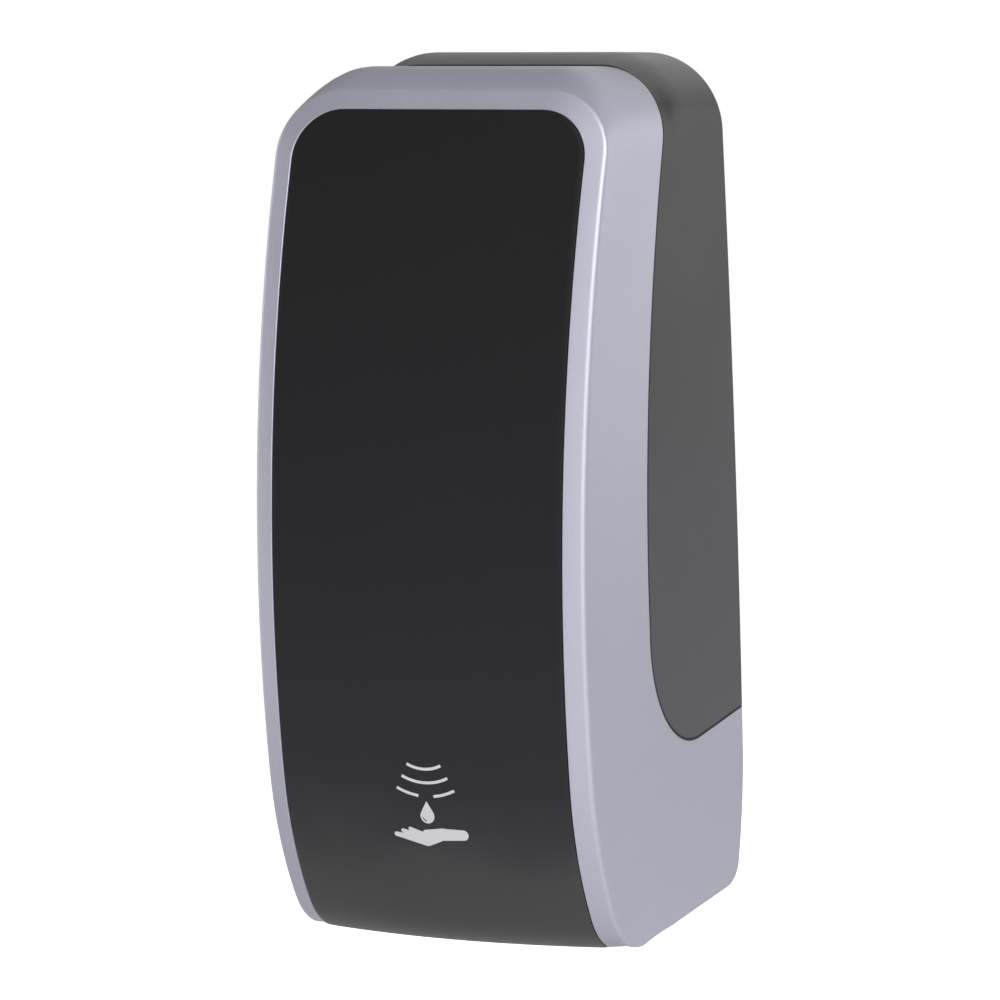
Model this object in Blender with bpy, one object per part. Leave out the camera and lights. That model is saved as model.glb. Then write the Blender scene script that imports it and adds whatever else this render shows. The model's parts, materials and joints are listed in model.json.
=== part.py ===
"""Wall dispenser for liquid hand disinfectant, set off by a hand sensor, as separate parts.

Metres, +Z up and +X to the viewer's right. The wall is the plane Y = 0 and the dispenser stands
in front of it, so a depth below is a distance from the wall and lies at Y = -depth.
The origin is on the wall, half way up the cover.
"""
import math

import bmesh
import bpy
from mathutils import Matrix, Vector

MM = 0.001

# Clearances and the fineness of round pieces
GAP = 0.3 * MM
CUT = 1.0 * MM
SINK = 0.8 * MM
ROUND_STEPS = 24
CELL_STEPS = 20
MEDIUM_STEPS = 16
SMALL_STEPS = 12
COIL_STEPS = 8
WIRE_SIDES = 4
SEAL_SIDES = 6
SHARP_ANGLE = math.radians(32.0)

# Side view of the cover: a long front arc, a chin arc and a tight turn to the underside
COVER_DEPTH = 126.3 * MM
FOREMOST_HEIGHT = -8.0 * MM
FRONT_RADIUS = 470.0 * MM
CHIN_HEIGHT = -95.0 * MM
CHIN_RADIUS = 125.0 * MM
TURN_HEIGHT = -143.0 * MM
TURN_RADIUS = 29.3 * MM
UNDERSIDE_SLOPE = math.radians(8.4)
COVER_TOP = 151.0 * MM
SEAM_TOP = 146.1 * MM
CREASE_TOP = 138.2 * MM
RIM_DEPTH = 1.5 * MM
RIM_ROUND = 5.0 * MM
RIM_MIDDLE_SHARE = 0.35

# Front view of the cover: half widths at the wall and at the front crease
REAR_HALF_TOP = 61.0 * MM
REAR_HALF_LOW = 69.8 * MM
TAPER_TOP = 120.0 * MM
TAPER_LOW = -100.0 * MM
REAR_BOW = 0.8 * MM
REAR_TUCK = 2.8 * MM
TUCK_HEIGHT = 50.0 * MM
FRONT_HALF_TOP = 61.6 * MM
FRONT_HALF_LOW = 60.5 * MM
REAR_CORNER = 28.8 * MM
SEAM_CORNER = 26.5 * MM
CREASE_CORNER = 23.5 * MM
LOW_CORNER = 4.0 * MM
COVER_WALL = 2.5 * MM

# Seam between the frame and the rear shell
FRAME_DEPTH = 49.5 * MM
SEAM_GAP = 0.4 * MM
NOTCH_HEIGHT = -46.0 * MM
NOTCH_HALF_DEPTH = 34.0 * MM
NOTCH_HALF_HEIGHT = 41.7 * MM
NOTCH_RISE = math.radians(10.6)
FRAME_SHOULDER = 0.33
SHELL_SHOULDER = 0.3

# Band round the window, and the window with its bulging chin
BAND_WIDTH = 7.3 * MM
BAND_TOP_WIDTH = 6.9 * MM
BAND_RISE_TOP = 1.4 * MM
BAND_RISE_LOW = 3.0 * MM
CREASE_ROUND = 2.0 * MM
CREASE_SHARE = 0.45
WINDOW_CORNER = 17.5 * MM
WINDOW_LOW_CORNER = 6.0 * MM
WINDOW_END = math.radians(79.0)
WINDOW_THICKNESS = 2.1 * MM
CHIN_BULGE = 8.0 * MM
BULGE_TOP = -97.0 * MM
BULGE_HEIGHT = 58.0 * MM
LEDGE_WIDTH = 4.0 * MM
LEDGE_THICKNESS = 2.0 * MM
GASKET_THICKNESS = 0.6 * MM
GASKET_WIDTH = 2.4 * MM

# Steps round the cover's outlines
LOW_STEPS = 5
LOW_CORNER_STEPS = 2
SIDE_STEPS = 18
SIDE_CROWDING = 1.6
CORNER_STEPS = 6
TOP_STEPS = 4
WINDOW_COLUMNS = 10

# Wall plate and what it carries
PLATE_THICKNESS = 3.0 * MM
PLATE_MARGIN = 1.2 * MM
PLATE_LOW = -131.5 * MM
KEYHOLE_ACROSS = 35.0 * MM
KEYHOLE_HEIGHT = 114.0 * MM
KEYHOLE_RADIUS = 4.5 * MM
SLOT_HALF_WIDTH = 2.6 * MM
SLOT_LENGTH = 8.0 * MM
LOWER_SLOT_HEIGHT = -46.0 * MM
ACCESS_RADIUS = 8.0 * MM

# Cover hinge
HINGE_DEPTH = 8.0 * MM
HINGE_LIFT = 6.2 * MM
HINGE_PIN_RADIUS = 1.9 * MM
LUG_WIDTH = 6.0 * MM
LUG_RADIUS = 3.6 * MM
LUG_FRONT = 14.0 * MM
LUG_ROOT_HEIGHT = 6.5 * MM
PIN_HEAD_RADIUS = 3.2 * MM
PIN_HEAD_LENGTH = 1.6 * MM
BOSS_RADIUS = 4.6 * MM
BOSS_GAP = 1.0 * MM
BOSS_LENGTH = 8.0 * MM
LUG_TURN_START = math.radians(20.0)
LUG_TURN = math.radians(290.0)
PIN_REACH = 4.5 * MM

# Chassis that carries the tank and the pump
CHASSIS_HALF_WIDTH = 48.0 * MM
CHASSIS_WALL = 3.0 * MM
CHASSIS_BELOW_GUIDE = 6.0 * MM
DECK_HEIGHT = -26.0 * MM
DECK_THICKNESS = 4.0 * MM
DECK_HALF_WIDTH = 53.0 * MM
DECK_FRONT = 97.0 * MM
FLOOR_HEIGHT = -121.0 * MM
FLOOR_THICKNESS = 3.0 * MM
FLOOR_AHEAD = 16.0 * MM
GUSSET_LEFT = -22.0 * MM
GUSSET_RIGHT = 24.8 * MM
GUSSET_THICKNESS = 1.8 * MM
GUSSET_PUMP_GAP = 1.0 * MM
CHASSIS_SCREW_ACROSS = 40.0 * MM
CHASSIS_SCREW_UPPER = 70.0 * MM
CHASSIS_SCREW_LOWER = -12.0 * MM
CHASSIS_SCREW_RADIUS = 1.5 * MM
CHASSIS_SCREW_HEAD = 3.4 * MM
SCREW_HEAD_HEIGHT = 1.9 * MM
SCREW_TIP_COVER = 0.8 * MM

# Latch that holds the cover shut at the top
LATCH_HALF_WIDTH = 11.5 * MM
LATCH_BACK = 5.5 * MM
LATCH_THICKNESS = 6.3 * MM
GUIDE_WALL = 2.0 * MM
GUIDE_HEIGHT = 32.0 * MM
LATCH_TRAVEL = 6.0 * MM
LATCH_FOOT = 18.0 * MM
LATCH_HEADROOM = 2.3 * MM
ARM_THICKNESS = 4.0 * MM
NOSE_HEIGHT = 7.0 * MM
NOSE_THICKNESS = 3.7 * MM
CATCH_DEPTH = 16.0 * MM
CATCH_THICKNESS = 2.5 * MM
CATCH_HALF_WIDTH = 10.0 * MM
CATCH_HOOK = 5.0 * MM
CATCH_PLAY = 0.8 * MM
KEY_HALF_WIDTH = 3.0 * MM
KEY_SLOT_DEPTH = 2.6 * MM
LATCH_SPRING_RADIUS = 2.3 * MM
LATCH_SPRING_WIRE = 0.35 * MM
LATCH_SPRING_TURNS = 6

# Refill tank, its lid and its outlet
TANK_HALF_WIDTH = 51.0 * MM
TANK_BACK = 16.5 * MM
TANK_FRONT = 98.0 * MM
TANK_HEIGHT = 123.7 * MM
TANK_WALL = 2.0 * MM
TANK_ROUND = 10.0 * MM
OUTLET_DEPTH = 62.0 * MM
NECK_RADIUS = 8.8 * MM
NECK_BORE = 6.5 * MM
NECK_LENGTH = 15.0 * MM
SEAT_THICKNESS = 1.6 * MM
SEAT_BORE = 3.8 * MM
MOUTH_HALF_WIDTH = 18.0 * MM
MOUTH_BACK = 47.0 * MM
MOUTH_LENGTH = 20.0 * MM
LID_MARGIN = 3.0 * MM
LID_THICKNESS = 2.0 * MM
LID_HINGE_RADIUS = 1.6 * MM
LID_EAR_WIDTH = 3.0 * MM
LID_PIN_RADIUS = 0.8 * MM
SEAL_WIRE = 0.6 * MM
SEAL_HEIGHT_BELOW = 10.0 * MM
VALVE_DISC_RADIUS = 5.6 * MM
VALVE_DISC_THICKNESS = 1.6 * MM
VALVE_STEM_RADIUS = 1.8 * MM
VALVE_LIFT = 3.0 * MM
VALVE_SPRING_RADIUS = 4.6 * MM
VALVE_SPRING_WIRE = 0.35 * MM
VALVE_SPRING_TURNS = 4
CAGE_THICKNESS = 1.4 * MM
CAGE_HALF_WIDTH = 1.6 * MM

# Socket under the deck that the tank's neck plugs into
SOCKET_BORE = 10.6 * MM
SOCKET_WALL = 2.6 * MM
SOCKET_FLANGE = 16.5 * MM
SOCKET_FLANGE_THICKNESS = 2.6 * MM
SOCKET_DEPTH = 17.0 * MM
SOCKET_FLOOR = 2.0 * MM
SOCKET_PIN_RADIUS = 2.2 * MM
BARB_ACROSS = 9.0 * MM
BARB_RADIUS = 1.3 * MM
BARB_LENGTH = 5.0 * MM

# Peristaltic pump
PUMP_HEIGHT = -82.0 * MM
PUMP_HALF_WIDTH = 25.0 * MM
PUMP_PLATE = 3.0 * MM
PUMP_TOP = 25.0 * MM
TRACK_DEPTH = 20.0 * MM
PUMP_BACK = OUTLET_DEPTH - PUMP_PLATE - TRACK_DEPTH / 2
TRACK_WALL = 4.0 * MM
TRACK_END_ANGLE = math.radians(92.0)
POST_ACROSS = 21.3 * MM
POST_UP = 21.3 * MM
POST_DOWN = 26.0 * MM
POST_RADIUS = 3.4 * MM
PUMP_COVER = 2.0 * MM
PUMP_SCREW_RADIUS = 1.25 * MM
PUMP_SCREW_HEAD = 2.7 * MM
PUMP_SCREW_LENGTH = 10.0 * MM
ROLLER_RADIUS = 4.2 * MM
ROLLER_BORE = 1.7 * MM
ROLLER_PIN = 1.4 * MM
ROLLER_CIRCLE = 11.5 * MM
ROLLER_LENGTH = 11.2 * MM
ROLLER_COUNT = 3
ROTOR_DISC = 14.4 * MM
ROTOR_DISC_THICKNESS = 2.4 * MM
ROTOR_HUB = 5.0 * MM
SHAFT_RADIUS = 2.5 * MM
TUBE_RADIUS = 3.2 * MM
TUBE_BORE = 1.6 * MM
TUBE_FLAT_HALF = 1.6 * MM
TUBE_FLAT_WIDTH = 4.3 * MM
TUBE_SIDES = 8
TUBE_BEND = 8.0 * MM
TUBE_LOW_BEND = 5.0 * MM
TUBE_SWING = math.radians(60.0)

# Gear train behind the pump
GEAR_MODULE = 0.75 * MM
OUTPUT_TEETH = 42
SMALL_TEETH = 12
WHEEL_TEETH = 36
PINION_TEETH = 12
PRESSURE_ANGLE = math.radians(20.0)
TOOTH_TIP_SHARE = 0.9
TOOTH_ROOT_SHARE = 1.2
GEAR_BACKLASH = 0.22 * MM
COMPOUND_ANGLE = math.radians(-75.0)
PINION_ANGLE = math.radians(60.0)
OUTPUT_GEAR_WIDTH = 5.0 * MM
WHEEL_WIDTH = 4.0 * MM
GEAR_SIDE_GAP = 0.8 * MM
GEARBOX_WALL = 1.8 * MM
GEARBOX_DEPTH = 18.0 * MM
GEARBOX_BACK = PUMP_BACK - GEARBOX_DEPTH
GEARBOX_MARGIN = 1.2 * MM
AXLE_RADIUS = 1.2 * MM
GEAR_BORE_PLAY = 0.3 * MM

# Motor
MOTOR_RADIUS = 10.0 * MM
MOTOR_REAR_GAP = 2.4 * MM
MOTOR_FLAT_HALF = 7.6 * MM
MOTOR_SHAFT = 1.0 * MM
MOTOR_NOSE = 2.6 * MM
MOTOR_CAP = 3.0 * MM

# Outlet and hand sensor under the floor
NOZZLE_FLANGE = 6.0 * MM
NOZZLE_FLANGE_THICKNESS = 2.0 * MM
NOZZLE_STEM = 3.4 * MM
NOZZLE_TIP = 2.2 * MM
NOZZLE_TIP_LENGTH = 5.0 * MM
NOZZLE_BORE = 0.9 * MM
NOZZLE_RECESS = 1.2 * MM
SHROUD_HALF_WIDTH = 13.0 * MM
SHROUD_BEHIND = 34.0 * MM
SHROUD_AHEAD = 12.0 * MM
SHROUD_BACK = OUTLET_DEPTH - SHROUD_BEHIND
SHROUD_FRONT = OUTLET_DEPTH + SHROUD_AHEAD
SHROUD_WALL = 1.5 * MM
SHROUD_RECESS = 0.5 * MM
SHROUD_MOUTH = 4.6 * MM
COVER_OPENING_GAP = 1.5 * MM
SENSOR_BEHIND = 22.0 * MM
SENSOR_DEPTH = OUTLET_DEPTH - SENSOR_BEHIND
SENSOR_PITCH = 10.0 * MM
SENSOR_WINDOW_HALF_WIDTH = 9.5 * MM
SENSOR_WINDOW_HALF_DEPTH = 6.0 * MM
LENS_MARGIN = 1.4 * MM
LENS_THICKNESS = 1.2 * MM
LED_RADIUS = 2.5 * MM
LED_LENGTH = 7.5 * MM
SENSOR_BLOCK_HALF_WIDTH = 10.5 * MM
SENSOR_BLOCK_HALF_DEPTH = 7.5 * MM
SENSOR_BLOCK_HEIGHT = 17.0 * MM

# Batteries, their box and its door
CELL_RADIUS = 7.1 * MM
CELL_LENGTH = 48.9 * MM
CELL_NUB_RADIUS = 2.6 * MM
CELL_NUB_LENGTH = 1.3 * MM
CELL_PITCH = 14.7 * MM
BOX_WALL = 1.3 * MM
BOX_PLACE_SHARE = 0.27
BOX_BACK = 6.6 * MM
CONTACT_ROOM = 1.6 * MM
DOOR_THICKNESS = 1.6 * MM
DOOR_HINGE_OUT = 0.6 * MM
DOOR_HINGE_FORWARD = 2.3 * MM
DOOR_BARREL = 1.2 * MM
DOOR_PIN = 0.65 * MM
DOOR_EAR = 1.6 * MM
DOOR_EAR_REACH = 2.0 * MM

# Control panel with its button, dose switch, lamp and circuit board
PANEL_LEFT = 27.5 * MM
PANEL_RIGHT = 53.5 * MM
PANEL_TOP = -64.0 * MM
PANEL_FACE = 60.0 * MM
PANEL_THICKNESS = 2.0 * MM
PANEL_FOOT = 20.0 * MM
PANEL_STANDOFF = 2.2 * MM
BOARD_FACE = 47.6 * MM
BOARD_THICKNESS = 1.6 * MM
BOARD_MARGIN = 1.2 * MM
BUTTON_RADIUS = 4.0 * MM
BUTTON_HEIGHT = -75.0 * MM
BUTTON_STAND = 1.5 * MM
BUTTON_TRAVEL = 1.0 * MM
BUTTON_STEM = 2.0 * MM
BUTTON_COLLAR = 1.0 * MM
SWITCH_BODY_HALF = 3.0 * MM
SWITCH_BODY_HEIGHT = 3.5 * MM
DOSE_HEIGHT = -92.0 * MM
DOSE_HALF_WIDTH = 1.9 * MM
DOSE_HALF_HEIGHT = 2.0 * MM
DOSE_TRAVEL = 3.0 * MM
DOSE_STAND = 2.2 * MM
DOSE_FLANGE = 1.6 * MM
LAMP_HEIGHT = -106.0 * MM
LAMP_RADIUS = 2.0 * MM
LAMP_FLANGE = 2.9 * MM
LAMP_DOME_SHARE = 0.7
LAMP_LENGTH = 5.0 * MM

# Screws that join the frame to the rear shell
TAB_UPPER = 70.0 * MM
TAB_BELOW_DECK = 4.5 * MM
TAB_HALF_HEIGHT = 7.0 * MM
TAB_THICKNESS = 2.4 * MM
TAB_ROOT = 5.0 * MM
TAB_REACH = 12.0 * MM
TAB_SCREW_BACK = 7.0 * MM
TAB_SCREW_RADIUS = 1.2 * MM
TAB_SCREW_HEAD = 2.8 * MM
TAB_SCREW_BITE = 1.2 * MM


class SideProfile:
    """Side view of the cover's crease, measured along the curve from the foremost point.

    Distances along the curve are positive upwards. A lift moves a point off the curve outwards.
    """

    def __init__(self):
        self.front = (COVER_DEPTH - FRONT_RADIUS, FOREMOST_HEIGHT)
        self.front_end = math.asin((FOREMOST_HEIGHT - CHIN_HEIGHT) / FRONT_RADIUS)
        self.chin = self._next_centre(self.front, FRONT_RADIUS, CHIN_RADIUS, self.front_end)
        self.chin_end = math.asin((self.chin[1] - TURN_HEIGHT) / CHIN_RADIUS)
        self.turn = self._next_centre(self.chin, CHIN_RADIUS, TURN_RADIUS, self.chin_end)
        self.turn_end = math.pi / 2 + UNDERSIDE_SLOPE

    @staticmethod
    def _next_centre(centre, radius, next_radius, angle):
        """Centre of the arc that carries on smoothly where the last arc ends."""
        step = radius - next_radius
        return (centre[0] + step * math.cos(angle), centre[1] - step * math.sin(angle))

    def along_at_angle(self, angle):
        """Distance along the curve of the point whose outward normal dips by this angle."""
        if angle <= self.front_end:
            return -FRONT_RADIUS * angle
        along = -FRONT_RADIUS * self.front_end
        if angle <= self.chin_end:
            return along - CHIN_RADIUS * (angle - self.front_end)
        along -= CHIN_RADIUS * (self.chin_end - self.front_end)
        return along - TURN_RADIUS * (angle - self.chin_end)

    def along_at_height(self, height):
        """Distance along the curve at a height on the front arc."""
        return self.along_at_angle(math.asin((FOREMOST_HEIGHT - height) / FRONT_RADIUS))

    def point(self, along, lift=0.0):
        """Depth and height of a point on the curve, lifted off it along the normal."""
        chin_start = self.along_at_angle(self.front_end)
        turn_start = self.along_at_angle(self.chin_end)
        finish = self.along_at_angle(self.turn_end)
        run_on = 0.0
        if along >= chin_start:
            centre, radius, angle = self.front, FRONT_RADIUS, -along / FRONT_RADIUS
        elif along >= turn_start:
            centre, radius = self.chin, CHIN_RADIUS
            angle = self.front_end + (chin_start - along) / CHIN_RADIUS
        else:
            centre, radius = self.turn, TURN_RADIUS
            angle = self.chin_end + (turn_start - max(along, finish)) / TURN_RADIUS
            run_on = max(finish - along, 0.0)
        reach = radius + lift
        depth = centre[0] + reach * math.cos(angle) - run_on * math.sin(angle)
        height = centre[1] - reach * math.sin(angle) - run_on * math.cos(angle)
        return depth, height

    def front_depth(self, height):
        """Depth of the front arc at a height."""
        return self.front[0] + math.sqrt(FRONT_RADIUS ** 2 - (height - FOREMOST_HEIGHT) ** 2)

    def underside(self, depth):
        """Height of the underside at a depth, on its slope or on the turn in front of it."""
        end_depth, end_height = self.point(self.along_at_angle(self.turn_end))
        if depth <= end_depth:
            return end_height + (end_depth - depth) * math.tan(UNDERSIDE_SLOPE)
        return self.turn[1] - math.sqrt(max(TURN_RADIUS ** 2 - (depth - self.turn[0]) ** 2, 0.0))


SIDE = SideProfile()


def hinge_height():
    """Height of the cover's hinge above the wall end of the underside."""
    return SIDE.underside(HINGE_DEPTH) + HINGE_LIFT


def rear_half(height):
    """Half width of the cover at the wall."""
    share = (TAPER_TOP - height) / (TAPER_TOP - TAPER_LOW)
    if share <= 1.0:
        bow = REAR_BOW * 4.0 * share * (1.0 - share)
        return REAR_HALF_TOP + (REAR_HALF_LOW - REAR_HALF_TOP) * share + bow
    return REAR_HALF_LOW - REAR_TUCK * ((TAPER_LOW - height) / TUCK_HEIGHT) ** 2


def front_half(height):
    """Half width of the cover at the front crease."""
    share = (TAPER_TOP - height) / (TAPER_TOP - TURN_HEIGHT)
    return FRONT_HALF_TOP + (FRONT_HALF_LOW - FRONT_HALF_TOP) * min(share, 1.0)


def half_at(depth, height):
    """Half width of the cover's side wall at a depth."""
    share = depth / SIDE.front_depth(max(height, CHIN_HEIGHT))
    return rear_half(height) + (front_half(height) - rear_half(height)) * share


def seam_plane_depth():
    """Depth of the seam at the top of the cover."""
    return SIDE.front_depth(SEAM_TOP) - FRAME_DEPTH


def band_rise(along):
    """How far the window's edge stands in front of the crease."""
    top = SIDE.along_at_height(CREASE_TOP)
    low = SIDE.along_at_angle(SIDE.chin_end)
    share = min((top - along) / (top - low), 1.0)
    return BAND_RISE_TOP + (BAND_RISE_LOW - BAND_RISE_TOP) * share


def bulge(height, across):
    """How far the chin stands out: nothing at the window's edges and most in the middle."""
    share = min(max((BULGE_TOP - height) / BULGE_HEIGHT, 0.0), 1.0)
    swell = share * share * (3.0 - 2.0 * share)
    across_share = min(abs(across) / (FRONT_HALF_LOW - BAND_WIDTH), 1.0)
    return CHIN_BULGE * swell * (1.0 - across_share * across_share)


def upright_outline(half_width, low, high, corner_high, corner_low):
    """Closed outline of (across, along) pairs, from the low centre round by the right side."""
    wide_low = half_width(low + corner_low)
    wide_high = half_width(high - corner_high)
    right = [((wide_low - corner_low) * k / LOW_STEPS, low) for k in range(LOW_STEPS + 1)]
    for k in range(1, LOW_CORNER_STEPS + 1):
        angle = math.pi / 2 * k / LOW_CORNER_STEPS
        right.append((wide_low - corner_low * (1.0 - math.sin(angle)),
                      low + corner_low * (1.0 - math.cos(angle))))
    for k in range(1, SIDE_STEPS + 1):
        share = (k / SIDE_STEPS) ** SIDE_CROWDING
        along = low + corner_low + (high - corner_high - low - corner_low) * share
        right.append((half_width(along), along))
    for k in range(1, CORNER_STEPS + 1):
        angle = math.pi / 2 * k / CORNER_STEPS
        right.append((wide_high - corner_high * (1.0 - math.cos(angle)),
                      high - corner_high * (1.0 - math.sin(angle))))
    for k in range(1, TOP_STEPS + 1):
        right.append(((wide_high - corner_high) * (1.0 - k / TOP_STEPS), high))
    left = [(-across, along) for across, along in reversed(right[1:-1])]
    return right + left


def place(across, depth, height):
    """A point from its distance across, its depth from the wall and its height."""
    return Vector((across, -depth, height))


# Shapes

def block(across, depth, height):
    """A box between two values each way."""
    shape = bmesh.new()
    size = Vector((across[1] - across[0], depth[1] - depth[0], height[1] - height[0]))
    centre = place(sum(across) / 2, sum(depth) / 2, sum(height) / 2)
    matrix = Matrix.Translation(centre) @ Matrix.Diagonal(size.to_4d())
    bmesh.ops.create_cube(shape, size=1.0, matrix=matrix)
    return shape


def rounded_block(across, depth, height, radius):
    """A box whose upright edges are rounded."""
    shape = block(across, depth, height)
    upright = [edge for edge in shape.edges
               if abs(edge.verts[0].co.z - edge.verts[1].co.z) > (height[1] - height[0]) / 2]
    bmesh.ops.bevel(shape, geom=upright, offset=radius, segments=4, profile=0.5,
                    affect="EDGES", material=-1)
    return shape


def rod(axis, centre, radius, span, steps=ROUND_STEPS):
    """A cylinder along X, along the depth or along Z, between two values on its axis."""
    shape = bmesh.new()
    middle = (span[0] + span[1]) / 2
    length = abs(span[1] - span[0])
    if axis == "X":
        spot, turn = place(middle, centre[0], centre[1]), Matrix.Rotation(math.pi / 2, 4, "Y")
    elif axis == "depth":
        spot, turn = place(centre[0], middle, centre[1]), Matrix.Rotation(math.pi / 2, 4, "X")
    else:
        spot, turn = place(centre[0], centre[1], middle), Matrix.Identity(4)
    bmesh.ops.create_cone(shape, cap_ends=True, segments=steps, radius1=radius, radius2=radius,
                          depth=length, matrix=Matrix.Translation(spot) @ turn)
    return shape


def extruded(points, shift):
    """A prism from a flat outline, moved along a vector."""
    shape = bmesh.new()
    face = shape.faces.new([shape.verts.new(point) for point in points])
    grown = bmesh.ops.extrude_face_region(shape, geom=[face])
    moved = [item for item in grown["geom"] if isinstance(item, bmesh.types.BMVert)]
    bmesh.ops.translate(shape, verts=moved, vec=shift)
    bmesh.ops.recalc_face_normals(shape, faces=shape.faces)
    return shape


def side_prism(points, across):
    """A prism across the object, from (depth, height) pairs."""
    return extruded([place(across[0], d, z) for d, z in points],
                    Vector((across[1] - across[0], 0.0, 0.0)))


def front_prism(points, depth):
    """A prism through the depth, from (across, height) pairs."""
    return extruded([place(x, depth[0], z) for x, z in points],
                    Vector((0.0, depth[0] - depth[1], 0.0)))


def turned(profile, axis, centre, steps=ROUND_STEPS):
    """A turned piece from (radius, place on the axis) pairs, about Z or about the depth."""
    shape = bmesh.new()
    if axis == "depth":
        verts = [shape.verts.new(place(centre[0] + r, along, centre[1])) for r, along in profile]
        origin, direction = place(centre[0], 0.0, centre[1]), Vector((0.0, 1.0, 0.0))
    else:
        verts = [shape.verts.new(place(centre[0] + r, centre[1], along)) for r, along in profile]
        origin, direction = place(centre[0], centre[1], 0.0), Vector((0.0, 0.0, 1.0))
    edges = [shape.edges.new(pair) for pair in zip(verts, verts[1:])]
    bmesh.ops.spin(shape, geom=verts + edges, cent=origin, axis=direction,
                   angle=2.0 * math.pi, steps=steps, use_merge=True, use_duplicate=False)
    bmesh.ops.remove_doubles(shape, verts=shape.verts, dist=GAP / 100)
    bmesh.ops.recalc_face_normals(shape, faces=shape.faces)
    return shape


def loft(loops, ring):
    """A closed body through loops of points; a ring joins its last loop to its first."""
    shape = bmesh.new()
    rows = [[shape.verts.new(point) for point in loop] for loop in loops]
    pairs = list(zip(rows, rows[1:]))
    if ring:
        pairs.append((rows[-1], rows[0]))
    for first, second in pairs:
        count = len(first)
        for k in range(count):
            after = (k + 1) % count
            shape.faces.new((first[k], first[after], second[after], second[k]))
    if not ring:
        shape.faces.new(rows[0])
        shape.faces.new(rows[-1])
    bmesh.ops.recalc_face_normals(shape, faces=shape.faces)
    return shape


def sweep(points, section, steps):
    """A closed tube along points in space; the section gives its two half sizes at each point."""
    loops = []
    side = None
    for k, point in enumerate(points):
        ahead = points[min(k + 1, len(points) - 1)] - points[max(k - 1, 0)]
        ahead.normalize()
        if side is None:
            side = ahead.cross(Vector((0.0, 1.0, 0.0)))
            if side.length < GAP:
                side = ahead.orthogonal()
        side = (side - ahead * side.dot(ahead)).normalized()
        other = ahead.cross(side)
        in_plane, out_of_plane = section(k)
        loops.append([point + side * in_plane * math.cos(2.0 * math.pi * j / steps)
                      + other * out_of_plane * math.sin(2.0 * math.pi * j / steps)
                      for j in range(steps)])
    return loft(loops, ring=False)


def coil(centre, radius, wire, low, high, turns):
    """A helical spring of round wire about an upright axis."""
    count = turns * COIL_STEPS
    rise = high - low - 2.0 * wire
    points = []
    for k in range(count + 1):
        angle = 2.0 * math.pi * k / COIL_STEPS
        points.append(place(centre[0] + radius * math.cos(angle),
                            centre[1] + radius * math.sin(angle),
                            low + wire + rise * k / count))
    return sweep(points, lambda k: (wire, wire), WIRE_SIDES)


def ring_wire(centre, height, radius, wire, steps=ROUND_STEPS):
    """A ring of round section about an upright axis."""
    loops = []
    for k in range(steps):
        angle = 2.0 * math.pi * k / steps
        out = Vector((math.cos(angle), -math.sin(angle), 0.0))
        middle = place(centre[0], centre[1], height) + out * radius
        turns = [2.0 * math.pi * j / SEAL_SIDES for j in range(SEAL_SIDES)]
        loops.append([middle + out * wire * math.cos(turn)
                      + Vector((0.0, 0.0, wire)) * math.sin(turn) for turn in turns])
    return loft(loops, ring=True)


def to_mesh(shape, name):
    mesh = bpy.data.meshes.new(name)
    shape.to_mesh(mesh)
    shape.free()
    return mesh


def combine(base, tool, operation):
    """Boolean of two closed shapes, used up by the call, as a new shape."""
    objects = []
    for name, shape in (("base", base), ("tool", tool)):
        thing = bpy.data.objects.new(name, to_mesh(shape, name))
        bpy.context.scene.collection.objects.link(thing)
        objects.append(thing)
    modifier = objects[0].modifiers.new("boolean", "BOOLEAN")
    modifier.operation = operation
    modifier.solver = "EXACT"
    modifier.object = objects[1]
    depsgraph = bpy.context.evaluated_depsgraph_get()
    result = bmesh.new()
    result.from_mesh(objects[0].evaluated_get(depsgraph).to_mesh())
    for thing in objects:
        mesh = thing.data
        bpy.data.objects.remove(thing)
        bpy.data.meshes.remove(mesh)
    return result


def cut(base, *tools):
    for tool in tools:
        base = combine(base, tool, "DIFFERENCE")
    return base


def fuse(base, *tools):
    for tool in tools:
        base = combine(base, tool, "UNION")
    return base


def keep(base, tool):
    return combine(base, tool, "INTERSECT")


# Nodes

def clear_scene():
    for thing in list(bpy.data.objects):
        bpy.data.objects.remove(thing, do_unlink=True)


def finish(name, colour, roughness, metallic=0.0, alpha=1.0):
    """Material of one piece."""
    material = bpy.data.materials.new(name)
    material.use_nodes = True
    shader = material.node_tree.nodes["Principled BSDF"]
    shader.inputs["Base Color"].default_value = (*colour, 1.0)
    shader.inputs["Roughness"].default_value = roughness
    shader.inputs["Metallic"].default_value = metallic
    shader.inputs["Alpha"].default_value = alpha
    material.diffuse_color = (*colour, alpha)
    return material


SILVER = ((0.37, 0.37, 0.43), 0.35, 0.6)
DARK_GREY = ((0.09, 0.088, 0.092), 0.5)
SMOKED = ((0.025, 0.024, 0.027), 0.3)
WHITE = ((0.75, 0.75, 0.74), 0.45)
LIGHT_GREY = ((0.5, 0.51, 0.52), 0.5)
CLEAR = ((0.8, 0.86, 0.9), 0.15, 0.0, 0.5)
STEEL = ((0.6, 0.6, 0.62), 0.3, 1.0)
RUBBER = ((0.03, 0.03, 0.03), 0.8)
SILICONE = ((0.75, 0.73, 0.68), 0.4)
ACETAL = ((0.85, 0.85, 0.82), 0.4)
BOARD_GREEN = ((0.02, 0.18, 0.07), 0.5)
BLACK = ((0.02, 0.02, 0.02), 0.4)
BLUE = ((0.03, 0.12, 0.4), 0.4)
RED = ((0.5, 0.03, 0.03), 0.3)


def pivot(name, spot):
    """An empty on a joint's axis, which the moving pieces hang from."""
    empty = bpy.data.objects.new(name, None)
    empty.location = spot
    bpy.context.scene.collection.objects.link(empty)
    return empty


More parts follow.
